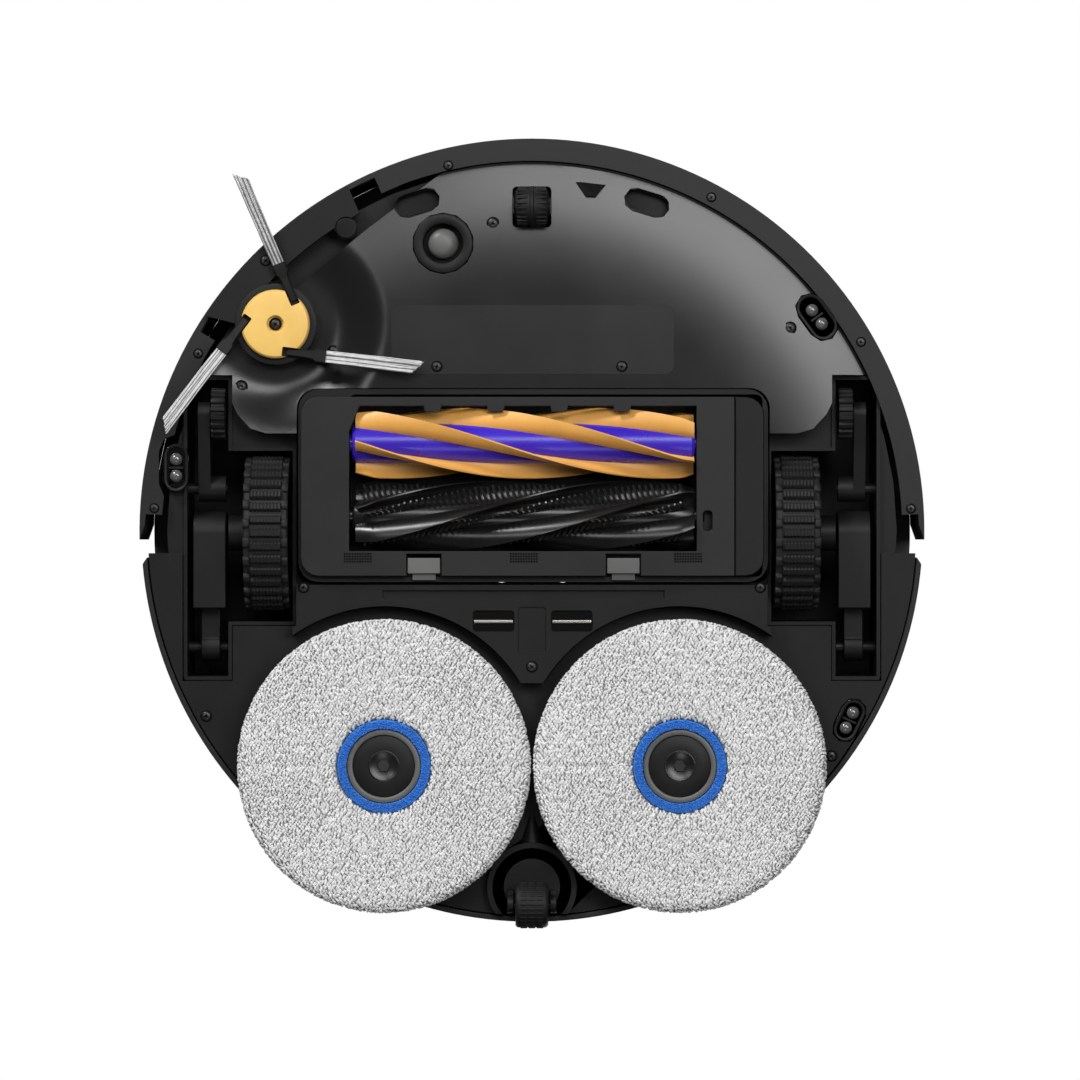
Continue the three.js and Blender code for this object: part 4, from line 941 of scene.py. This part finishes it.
def arm_point(angle, along, across, z):
    """A point of a brush arm: along it, across from its centre line, above the floor."""
    side = ARM_LEAD + across
    return (HUB[0] + along * math.cos(angle) - side * math.sin(angle),
            HUB[1] + along * math.sin(angle) + side * math.cos(angle), z)


def arm_height(along):
    """The middle height of a bristle bundle at a distance along its arm."""
    knots = [(12, 11.4), (22, 10.6), (27, 8.2), (33, 5.6), (45, 4.0), (58, 2.8), (72, 2.0)]
    for (x0, z0), (x1, z1) in zip(knots, knots[1:]):
        if along <= x1:
            return z0 + (z1 - z0) * (along - x0) / (x1 - x0)
    return knots[-1][1]


chance = random.Random(7)
bundles = [[], []]
for angle in ARM_ANGLES:
    for i in range(65):
        u = (i % 13) / 6 - 1
        layer = (i // 13) / 4 - 0.5
        fan = 1.02 + chance.uniform(0, 0.16)
        reach = 67.4 - 2.4 * (u + 1) + chance.uniform(-0.7, 0.7)
        line = []
        for k in range(7):
            s = 21 + (reach - 21) * k / 6
            across = u * 2.35 * (1 + (fan - 1) * k / 6) + chance.uniform(-0.09, 0.09) * k / 3
            height = arm_height(s) + layer * (1.9 - 1.0 * k / 6) + chance.uniform(-0.1, 0.1)
            line.append(arm_point(angle, s, across, max(1.5, height)))
        bundles[0 if chance.random() < 0.62 else 1].append(line)
bristles = [strands("pale_bristles", bundles[0], 0.2, FINISH["bristle"]),
            strands("grey_bristles", bundles[1], 0.2, GREY_BRISTLE)]


def arm_root(angle):
    """The dark rubber root that clamps one bundle, swept from stations along the arm."""
    stations = [(6.5, 3.2, 10.2, 13.2), (12.5, 3.3, 9.2, 13.2), (15.5, 3.6, 8.9, 13.0),
                (18.6, 4.4, 8.7, 12.8), (19.4, 6.0, 8.4, 12.6), (23.4, 6.2, 7.6, 12.2),
                (24.0, 5.6, 7.6, 11.6)]
    rows = []
    for s, width, low, high in stations:
        w = width / 2
        outline = [(-w, low + 0.5), (-w + 0.5, low), (w - 0.5, low), (w, low + 0.5), (w, high), (-w, high)]
        rows.append([arm_point(angle, s, across, z) for across, z in outline])
    return skinned(rows)


roots = [to_object(f"root_{i}", arm_root(angle), FINISH["rubber"], 40)
         for i, angle in enumerate(ARM_ANGLES)]
collar = [(4.4, 12.7), (15.2, 12.7), (17.4, 12.6), (18.0, 12.8), (18.0, 13.4), (16.9, 13.8), (4.4, 13.8)]
roots.append(turned("brush_collar", collar, *HUB, FINISH["rubber"], 72, closed=True))
tufts = joined("side_brush_bundles", [*bristles, *roots])
attach(tufts, "side_brush", ["side_brush_tufts"])

face = [(0, 2.4), (3.5, 2.4), (3.6, 0.4), (4.0, 0), (12.9, 0), (14.4, 0.25), (15.1, 0.9), (HUB_R, 1.5),
        (HUB_R, 3.2), (4, 3.3)]
hub_profile = [(r, HUB_Z + up) for r, up in face] + [(4, 20), (0, 20)]
hub = turned("side_brush_hub_moulding", hub_profile, *HUB, FINISH["yellow_hub"], 72)
notches = []
for i, angle in enumerate(ARM_ANGLES):
    x, y, _ = arm_point(angle, 9.0, 0, 0)
    notch = placed(plate(-4.6, 4.6, -2.1, 2.1, HUB_Z - 1, HUB_Z + 5, 0.6), turn=(0, 0, angle))
    notches.append(to_object(f"notch_{i}", placed(notch, x, y, 0), FINISH["yellow_hub"]))
cut_by(hub, joined("notches", notches), "DIFFERENCE")
soften(hub.data, 32)
attach(hub, "side_brush", ["side_brush_hub"])
print("side brush:", len(tufts.data.polygons), "faces of bristle and root")

# %% [markdown]
# ## Mop pads
# A mop pad is a soft ring of terry on a hook-and-loop disc. Its body is a crowned cushion,
# thicker in the middle of its width, pulled in at both edges and drawn up a little along
# eight seams. The terry is thousands of small loops, copied over that body with a turn of
# their own. Each loop has only a few faces, because there are thousands of them.

# %% The pad's body
PAD_IN, PAD_OUT, PAD_TOP = 20.9, 63.8, 9.2
SEAMS = 8


def pad_drop(r, angle):
    """The height of the cushion's underside, without its pile."""
    across = (r - (PAD_IN + PAD_OUT) / 2) / ((PAD_OUT - PAD_IN) / 2)
    crown = 1.15 + 0.55 * across * across + 1.3 * max(0.0, abs(across) - 0.88) / 0.12 * abs(across)
    off = (angle * SEAMS / math.tau) % 1
    off = min(off, 1 - off) * math.tau * r / SEAMS
    return crown + 0.5 * math.exp(-(off / 1.1) ** 2)


def pad_body(name, x):
    """The cushion round the point (x, MOP_Y)."""
    around = 192
    radii = [PAD_IN, PAD_IN + 0.8, PAD_IN + 2.2] + [PAD_IN + 4 + 2.6 * i for i in range(14)]
    radii += [PAD_OUT - 3.4, PAD_OUT - 2.0, PAD_OUT - 1.0, PAD_OUT - 0.3, PAD_OUT]
    rim = [(PAD_OUT + 0.15, 4.6), (PAD_OUT + 0.1, 6.6), (PAD_OUT - 0.5, 8.4), (PAD_OUT - 2.2, PAD_TOP),
           (PAD_IN, PAD_TOP)]
    rows = []
    for i in range(around):
        a = math.tau * i / around
        spots = [(r, pad_drop(r, a)) for r in radii] + rim
        rows.append([(x + r * math.cos(a), MOP_Y + r * math.sin(a), z) for r, z in spots])
    # The cushion's cloth is painted dark, as the shade between the loops of pile.
    return to_object(name, skinned(rows, closed=True), TERRY_PAINTED_SHADE, 60)


# %% Terry loops
def loop_mesh(length=2.3, height=1.0, thick=0.5):
    """One loop of terry: a low arch with four sides."""
    rows = []
    for along, up, wide in [(-0.5, 0.0, 0.9), (-0.27, 0.85, 1.0), (0.22, 1.0, 1.0), (0.5, 0.1, 0.85)]:
        w = thick * wide
        corners = [(-w, 0), (0, -w * 0.8), (w, 0), (0, w)]
        rows.append([(along * length, y, up * height + z) for y, z in corners])
    return mesh_of(skinned(rows), "terry_loop")


def terry_places(x, seed, pitch=1.5):
    """Loops on a shaken hexagonal grid under the pad, and in rows round its rim."""
    luck = random.Random(seed)
    spots = []
    rows = int(2 * PAD_OUT / (pitch * 0.72)) + 1
    for row in range(-rows // 2, rows // 2 + 1):
        for col in range(-60, 61):
            px = (col + 0.5 * (row % 2)) * pitch + luck.uniform(-0.35, 0.35)
            py = row * pitch * 0.72 + luck.uniform(-0.3, 0.3)
            r, a = math.hypot(px, py), math.atan2(py, px)
            if not PAD_IN + 0.5 < r < PAD_OUT - 0.35:
                continue
            lean = 0.55 * max(0.0, (r - PAD_OUT + 3) / 3)
            away = Vector((math.cos(a) * lean + luck.uniform(-0.3, 0.3),
                           math.sin(a) * lean + luck.uniform(-0.3, 0.3), -1))
            nap = 0.9 + 0.5 * math.sin(px / 13 + seed) + 0.4 * math.sin(py / 9) + luck.uniform(-0.3, 0.3)
            away += Vector((math.cos(nap), math.sin(nap), 0)) * 0.45
            spots.append(((x + px, MOP_Y + py, pad_drop(r, a) + 0.2), facing(away, nap)))
    rim = PAD_OUT - 0.25
    count = int(math.tau * PAD_OUT / pitch)
    for z in (3.4, 4.8, 6.2, 7.4):
        for i in range(count):
            a = math.tau * (i + luck.random()) / count
            away = Vector((math.cos(a), math.sin(a), luck.uniform(-0.5, 0.2)))
            foot = (x + rim * math.cos(a), MOP_Y + rim * math.sin(a), z + luck.uniform(-0.3, 0.3))
            spots.append((foot, facing(away, luck.uniform(0, math.tau))))
    return spots


def hook_places(x, seed, pitch=0.62):
    """Short hooks over the blue ring."""
    luck = random.Random(seed)
    spots = []
    r = 16.9
    while r < 20.5:
        count = int(math.tau * r / pitch)
        for i in range(count):
            a = math.tau * (i + luck.random()) / count
            rr = r + luck.uniform(-0.2, 0.2)
            away = (luck.uniform(-0.6, 0.6), luck.uniform(-0.6, 0.6), -1)
            spots.append(((x + rr * math.cos(a), MOP_Y + rr * math.sin(a), 1.9), facing(away)))
        r += pitch
    return spots


# %% Pads and their holders
HOOK_BASE = [(16.6, 2.0), (17.0, 1.75), (20.2, 1.75), (20.6, 2.0), (20.6, 9.2), (16.6, 9.2)]
HOLDER = [(13.7, 3.4), (13.9, 2.5), (14.3, 2.25), (15.8, 2.25), (16.2, 2.5), (16.3, 3.0), (16.3, 9.5),
          (60.2, 9.5), (60.2, 11.9), (6, 11.9), (6, 39.5), (0, 39.5), (0, 8.4), (13.7, 8.4)]
DISH = [(0, 8.3), (13.6, 8.3), (13.6, 3.1), (13.3, 2.9), (7.0, 3.0), (6.9, 3.1), (6.9, 4.0), (0, 4.0)]
SOCKET = [(0, 3.95), (6.9, 3.95), (6.85, 3.05), (6.5, 2.95), (6.1, 3.1), (3.5, 3.9), (0, 3.92)]
HEXAGON = [(0, 3.5), (2.6, 3.5), (3.0, 3.8), (3.0, 4.4), (0, 4.4)]
for seed, (name, side) in enumerate(SIDES.items()):
    x = side * MOP_X
    body = pad_body(name + "_pad_body", x)
    loops = terry_places(x, 20 + seed)
    pile = copies(name + "_pad_pile", loop_mesh(), loops, FINISH["terry"], 0.18, 5 + seed)
    pad = joined(name + "_terry_pad", [body, pile])
    soften(pad.data, 70)
    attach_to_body(pad, name + "_mop")
    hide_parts(name + "_mop_pad")
    base = turned(name + "_ring_base", HOOK_BASE, x, MOP_Y, FINISH["blue_ring"], 96, closed=True)
    hooks = copies(name + "_ring_hooks", mesh_of(tuft(0.9, 0.3, 4), "hook"), hook_places(x, 40 + seed),
                   FINISH["blue_ring"], 0.25, 9)
    attach(joined(name + "_hook_ring", [base, hooks]), name + "_mop", [name + "_mop_ring"])
    holder = turned(name + "_holder_moulding", HOLDER, x, MOP_Y, FINISH["grey_plastic"], 96)
    attach(holder, name + "_mop", [name + "_mop_holder"])
    disc = turned(name + "_holder_disc", DISH, x, MOP_Y, FINISH["black_plastic"], 72)
    socket = turned(name + "_socket", SOCKET, x, MOP_Y, GLOSSY_RUBBER, 64, 50)
    hexagon = turned(name + "_hexagon", HEXAGON, x, MOP_Y, DARK_STEEL, 6, 20)
    middle = joined(name + "_holder_centre", [disc, socket, hexagon])
    attach(middle, name + "_mop")
    print(name, "pad", len(pad.data.polygons), "faces")

# %% [markdown]
# ## Carpet sensor, screws and small parts
# The last pieces are small: the round carpet sensor, the lenses of the floor sensors, the
# charging contacts, and the screws. A screw is one small mesh with a cross recess, copied to
# every place. Each sits in a ring painted near-black, as the shade of its counterbore.

# %% Carpet sensor
RING = [(8.7, 21), (8.7, 14.2), (9.0, 13.5), (9.6, 13.2), (12.2, 13.1), (13.0, 13.4), (13.4, 14.2),
        (13.4, 26), (0, 26), (0, 22), (8.6, 22)]
DOME = [(0, 12.75), (1.6, 12.8), (3.2, 13.0), (4.6, 13.5), (5.7, 14.3), (6.4, 15.3), (6.7, 16.4),
        (6.8, 17.6), (6.8, 21.7), (0, 21.7)]
sensor_ring = turned("carpet_sensor_ring_moulding", RING, *CARPET, FINISH["black_plastic"], 72)
attach(sensor_ring, "chassis", ["carpet_sensor_ring"])
dome = turned("carpet_sensor_dome_moulding", DOME, *CARPET, FINISH["grey_plastic"], 64, 50)
attach(dome, "chassis", ["carpet_sensor_dome"])

# %% Screws
def screw_head(radius):
    """A low pan head with a cross recess, facing its own Z."""
    angles = [math.tau * i / 24 for i in range(24)]
    cross = [0.24 + 0.36 * abs(math.cos(2 * a)) ** 4 for a in angles]
    rings = [([share] * 24, z) for share, z in ((1.32, 0.04), (1.06, 0.05), (1.0, 0.16), (0.86, 0.42))]
    rings += [(cross, 0.52), ([share * 0.8 for share in cross], -0.35)]
    rows = [[(radius * k * math.cos(a), radius * k * math.sin(a), z) for k, a in zip(shares, angles)]
            for shares, z in rings]
    return mesh_of(skinned(rows), "screw_head")


def counterbore(radius):
    """A ring round a screw, painted near-black as the shade in its counterbore."""
    profile = [(0, -0.3), (radius, -0.3), (radius, 0.0), (radius * 0.96, 0.07), (0, 0.07)]
    return mesh_of(lathe(profile, 24), "counterbore")


def screws(name, body, spots, radius=2.15):
    """Screws and their rings, painted near-black as counterbore shade, at (x, y, z) places that look down.
    """
    luck = random.Random(len(spots))
    places = [(spot, facing(DOWN, luck.uniform(0, math.tau))) for spot in spots]
    heads = copies(name + "_heads", screw_head(radius), places, DARK_STEEL)
    rings = copies(name + "_rings", counterbore(radius * 1.36), places, PAINTED_SHADE_BLACK)
    attach(joined(name, [heads, rings]), body)


on_cover = [(17.3, 136.8), (-114.9, 90.3), (88.4, 80), (129.5, 64.4)]
screws("cover_screws", "chassis", [(x, y, cover_height(x, y)) for x, y in on_cover])
in_label = [(x, 73.1, LABEL_Z) for x in (42.2, -40.0)]
screws("label_screws", "chassis", in_label, 1.9)
on_lip = [(37.3, 163), (-80, 148.8), (-146.7, 84.3), (-169, 10), (168.4, 10.2), (148.8, 79.1)]
screws("bumper_screws", "bumper", [(x, y, 21.0) for x, y in on_lip], 1.7)
screws("guard_screws", "chassis", [(s * 101.5, -25.1, 13.0) for s in (1, -1)], 1.9)
screws("rear_screws", "chassis", [(145.3, -82.6, 23.0), (-133.7, -100.4, 23.0), (0, -60.3, 13.0)], 2.0)
screws("hub_screw", "side_brush", [(*HUB, HUB_Z + 1.7)], 2.1)
screws("arm_screw", "brush_arm", [(118.4, 120.2, 14.0)], 1.9)
print("screws placed")

# %% Slots and lenses
def pill_outline(x, y, length, width, turn, steps=10):
    """Points of a pill shape, turned in degrees."""
    half, r = (length - width) / 2, width / 2
    spots = []
    for end, start in ((half, -90), (-half, 90)):
        for i in range(steps + 1):
            a = math.radians(start + 180 * i / steps)
            spots.append((end + r * math.cos(a), r * math.sin(a)))
    c, s = math.cos(math.radians(turn)), math.sin(math.radians(turn))
    return [(x + c * px - s * py, y + s * px + c * py) for px, py in spots]


def pill_well(name, x, y, turn, levels, material):
    """A tub made of pill outlines: (length, width, height), from its mouth round to its back."""
    rows = [[(px, py, z) for px, py in pill_outline(x, y, length, width, turn)]
            for length, width, z in levels]
    return to_object(name, skinned(rows), material)


LENS_SHAPE = [(0, 1.6), (0.96, 1.5), (1.79, 1.15), (2.42, 0.6), (2.75, 0), (0, 0)]


def floor_sensor(name, x, y, turn, length, width, z):
    """A rim, a floor painted near-black as the shade in the well, two lenses and the bar between them, over
    a floor sensor.
    """
    steps = [(3.6, 0.9), (3.4, -0.2), (2.6, -0.5), (1.2, -0.5), (0.6, 0), (0.6, 1.2)]
    levels = [(length - less, width - less, z + up) for less, up in steps]
    parts = [pill_well(name + "_rim", x, y, turn, levels, FINISH["black_plastic"])]
    floor_levels = [(length - 3.4, width - 3.4, z + up) for up in (0.05, 0.8)]
    parts.append(pill_well(name + "_floor", x, y, turn, floor_levels, PAINTED_SHADE_BLACK))
    middle = Vector((x, y, z + 0.05))
    along = Vector((math.cos(math.radians(turn)), math.sin(math.radians(turn)), 0))
    spots = [(middle + along * side * 3.7, facing(DOWN)) for side in (-1, 1)]
    parts.append(copies(name + "_lenses", mesh_of(lathe(LENS_SHAPE, 20), "lens"), spots, LENS))
    across = (0, 0, math.radians(turn + 90))
    divider = mesh_of(plate(-3.2, 3.2, -0.45, 0.45, -0.55, 0.3, 0.3), "divider")
    parts.append(copies(name + "_divider", divider, [(middle, across)], FINISH["black_plastic"]))
    attach(joined(name, parts), "chassis")


for node, (turn, length, width) in FLOOR_SENSORS.items():
    x, y, _ = centre(node)
    floor_sensor(node + "_face", x, y, turn, length, width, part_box(node)[0][2] / MM - 0.05)

for side, turn in ((1, -17), (-1, 17)):
    x, y = side * 51, 146
    mouth = cover_height(x, y) + 0.4
    levels = [(18.4, 7.8, 23.4), (19.2, 8.6, mouth + 4.5), (20.7, 10.4, mouth), (20.95, 10.65, mouth + 0.1),
              (20.95, 10.65, 24.2)]
    # Each slot's tub is painted near-black gloss, as the shade deep inside it.
    tub = pill_well(f"front_slot_{side}", x, y, turn, levels, PAINTED_SHADE_GLOSS)
    attach(tub, "chassis")
print("floor sensors and front slots made")

# %% Guard teeth, grip pads, contacts and the cone
def tooth(x):
    """A tooth of the guard: wide at its root, narrow at its tip, with soft edges."""
    outline = [(x - 4.4, 57.5), (x + 4.4, 57.5), (x + 3.3, 52.9), (x - 3.3, 52.9)]
    bm = skinned([[(px, py, z) for px, py in outline] for z in (8.1, 9.1)])
    bmesh.ops.bevel(bm, geom=bm.edges[:], offset=0.25 * MM, segments=2, affect="EDGES")
    return bm


teeth = [to_object(f"tooth_{i}", tooth(x), FINISH["shell"], 40)
         for i, x in enumerate((44.1, 16.0, -12.1, -40.1))]
attach(joined("guard_teeth", teeth), "chassis")

STUD = [(0, 0.3), (0.42, 0.25), (0.45, 0), (0.45, -0.3), (0, -0.3)]
pad_spots = [((x + 1.15 * i, -12.4 + 1.15 * j, 8.5), facing(DOWN)) for x in (77.3, 3.6, -69.3)
             for i in range(-5, 6) for j in range(-1, 3)]
# The grip studs are given the near-black used for painted shade, darker than the black plastic.
studs = copies("grip_pads", mesh_of(lathe(STUD, 8), "stud"), pad_spots, PAINTED_SHADE_BLACK)
attach(studs, "chassis")

CONTACT_ROD = [(0, -8.6), (1.15, -8.6), (1.15, 8.6), (0, 8.6)]
contacts = []
# Each contact bar lies on a plate painted near-black, as the shade of its recess.
for x0, x1 in ((7.9, 26.2), (-26.9, -8.6)):
    contacts.append(to_object("contact_well", plate(x0, x1, -44.6, -35.9, 12.93, 13.6, 1.2), PAINTED_SHADE_BLACK))
    middle = ((x0 + x1) / 2, -40.2, 13.3)
    contacts.append(band("contact_bar", middle, CONTACT_ROD, CONTACT, 20, False))
attach(joined("charging_contacts", contacts), "chassis")

FACET = [(-13.9, 162.2), (-37.3, 159.1), (-28.6, 148.9), (-24.2, 148.9)]
low = [(x, y, z) for (x, y), z in zip(FACET, (19.5, 19.5, 13.4, 13.4))]
wedge = skinned([low, [(x, y, 20.6) for x, y in FACET]])
# The facet is given the same near-black gloss that paints shade into the slots.
attach(to_object("front_facet", wedge, PAINTED_SHADE_GLOSS, 20), "chassis")

cone = lathe([(0, 0), (1.3, 0), (5.4, 14.1), (5.4, 15.6), (0, 15.6)], 32)
cone = placed(placed(cone, turn=(math.pi / 2, 0, 0)), 0, -125.5, 24.5)
attach(to_object("caster_cone", cone, FINISH["black_plastic"]), "chassis")
print("small parts made")

# %% [markdown]
# ## Floor, light and camera
# The machine is seen from straight below, through its own floor. So the floor is a plane
# whose underside is clear, and it blocks no light. Soft panels stand in a ring under the
# machine, far enough out that only curved plastic mirrors them, and three more light the top
# for the other views. The world is white to the eye and a dim grey as a light.

# %% Floor
def floor_finish():
    """Pale and plain from above, clear from below."""
    material, tree, skin = plain("pale_floor", 0.75)
    grain = noise(tree, place(tree), 3, 3)
    tree.links.new(tint(tree, grain, (0.80, 0.80, 0.80), (0.84, 0.84, 0.84)), skin.inputs["Base Color"])
    side = add_node(tree, "ShaderNodeNewGeometry").outputs["Backfacing"]
    clear = add_node(tree, "ShaderNodeBsdfTransparent").outputs["BSDF"]
    mix = add_node(tree, "ShaderNodeMixShader")
    tree.links.new(side, mix.inputs["Fac"])
    tree.links.new(skin.outputs["BSDF"], mix.inputs[1])
    tree.links.new(clear, mix.inputs[2])
    tree.links.new(mix.outputs["Shader"], tree.nodes["Material Output"].inputs["Surface"])
    return material


FLOOR_HALF = 6.0
corners = [(-FLOOR_HALF, -FLOOR_HALF, 0), (FLOOR_HALF, -FLOOR_HALF, 0),
           (FLOOR_HALF, FLOOR_HALF, 0), (-FLOOR_HALF, FLOOR_HALF, 0)]
plane = bpy.data.meshes.new("floor")
plane.from_pydata(corners, [], [(0, 1, 2, 3)])
floor = as_object("floor", plane, floor_finish())
floor.visible_shadow = False
floor.visible_diffuse = False
floor.visible_glossy = False

# %% World
FELT_STRENGTH = 0.05
world = bpy.data.worlds.new("studio")
bpy.context.scene.world = world
world.use_nodes = True
tree = world.node_tree
seen = tree.nodes["Background"]
seen.inputs["Color"].default_value = (1, 1, 1, 1)
seen.inputs["Strength"].default_value = 1.0
felt = add_node(tree, "ShaderNodeBackground", {"Color": (1, 1, 1, 1), "Strength": FELT_STRENGTH})
eye = add_node(tree, "ShaderNodeLightPath").outputs["Is Camera Ray"]
mix = add_node(tree, "ShaderNodeMixShader")
tree.links.new(eye, mix.inputs["Fac"])
tree.links.new(felt.outputs["Background"], mix.inputs[1])
tree.links.new(seen.outputs["Background"], mix.inputs[2])
tree.links.new(mix.outputs["Shader"], tree.nodes["World Output"].inputs["Surface"])

# %% Lights
TARGET = Vector((0, 0, 0.03))


def softbox(name, bearing, elevation, distance, size, power):
    """A square light that faces the machine, from a bearing and a height in degrees."""
    a, e = math.radians(bearing), math.radians(elevation)
    spot = Vector((math.sin(a) * math.cos(e), math.cos(a) * math.cos(e), math.sin(e))) * distance
    light = bpy.data.lights.new(name, "AREA")
    light.shape = "SQUARE"
    light.size = size
    light.energy = power
    lamp = bpy.data.objects.new(name, light)
    bpy.context.scene.collection.objects.link(lamp)
    lamp.location = TARGET + spot
    lamp.rotation_euler = (-spot).to_track_quat("-Z", "Y").to_euler()


UNDER = [("under_front", 0, -64, 2.2, 0.6, 7.5), ("under_front_left", 325, -64, 2.2, 0.6, 9),
         ("under_left", 290, -64, 2.2, 0.6, 8), ("under_front_right", 50, -64, 2.2, 0.5, 4),
         ("under_back", 180, -58, 2.2, 0.6, 3), ("under_low", 35, -30, 2.6, 0.5, 42)]
OVER = [("over_key", 215, 55, 2.4, 1.2, 26), ("over_fill", 120, 45, 2.4, 1.2, 14),
        ("over_rim", 345, 35, 2.6, 1.0, 16)]
for lamp in UNDER + OVER:
    softbox(*lamp)
print(len(UNDER), "lights below and", len(OVER), "above")

# %% Camera
FRAME_WIDTH = 0.4797
lens = bpy.data.cameras.new("camera")
lens.lens, lens.sensor_width = 180, 36
camera = bpy.data.objects.new("camera", lens)
bpy.context.scene.collection.objects.link(camera)
MIDDLE_X, MIDDLE_Y, UNDERSIDE = -0.0036, -0.0040, 0.012
distance = FRAME_WIDTH * lens.lens / lens.sensor_width
camera.location = (MIDDLE_X, MIDDLE_Y, UNDERSIDE - distance)
camera.rotation_euler = (0, math.pi, 0)
lens.clip_start = 0.1
lens.clip_end = 50
bpy.context.scene.camera = camera
bpy.context.scene.view_settings.view_transform = "Standard"
print("camera", round(distance, 2), "m below")
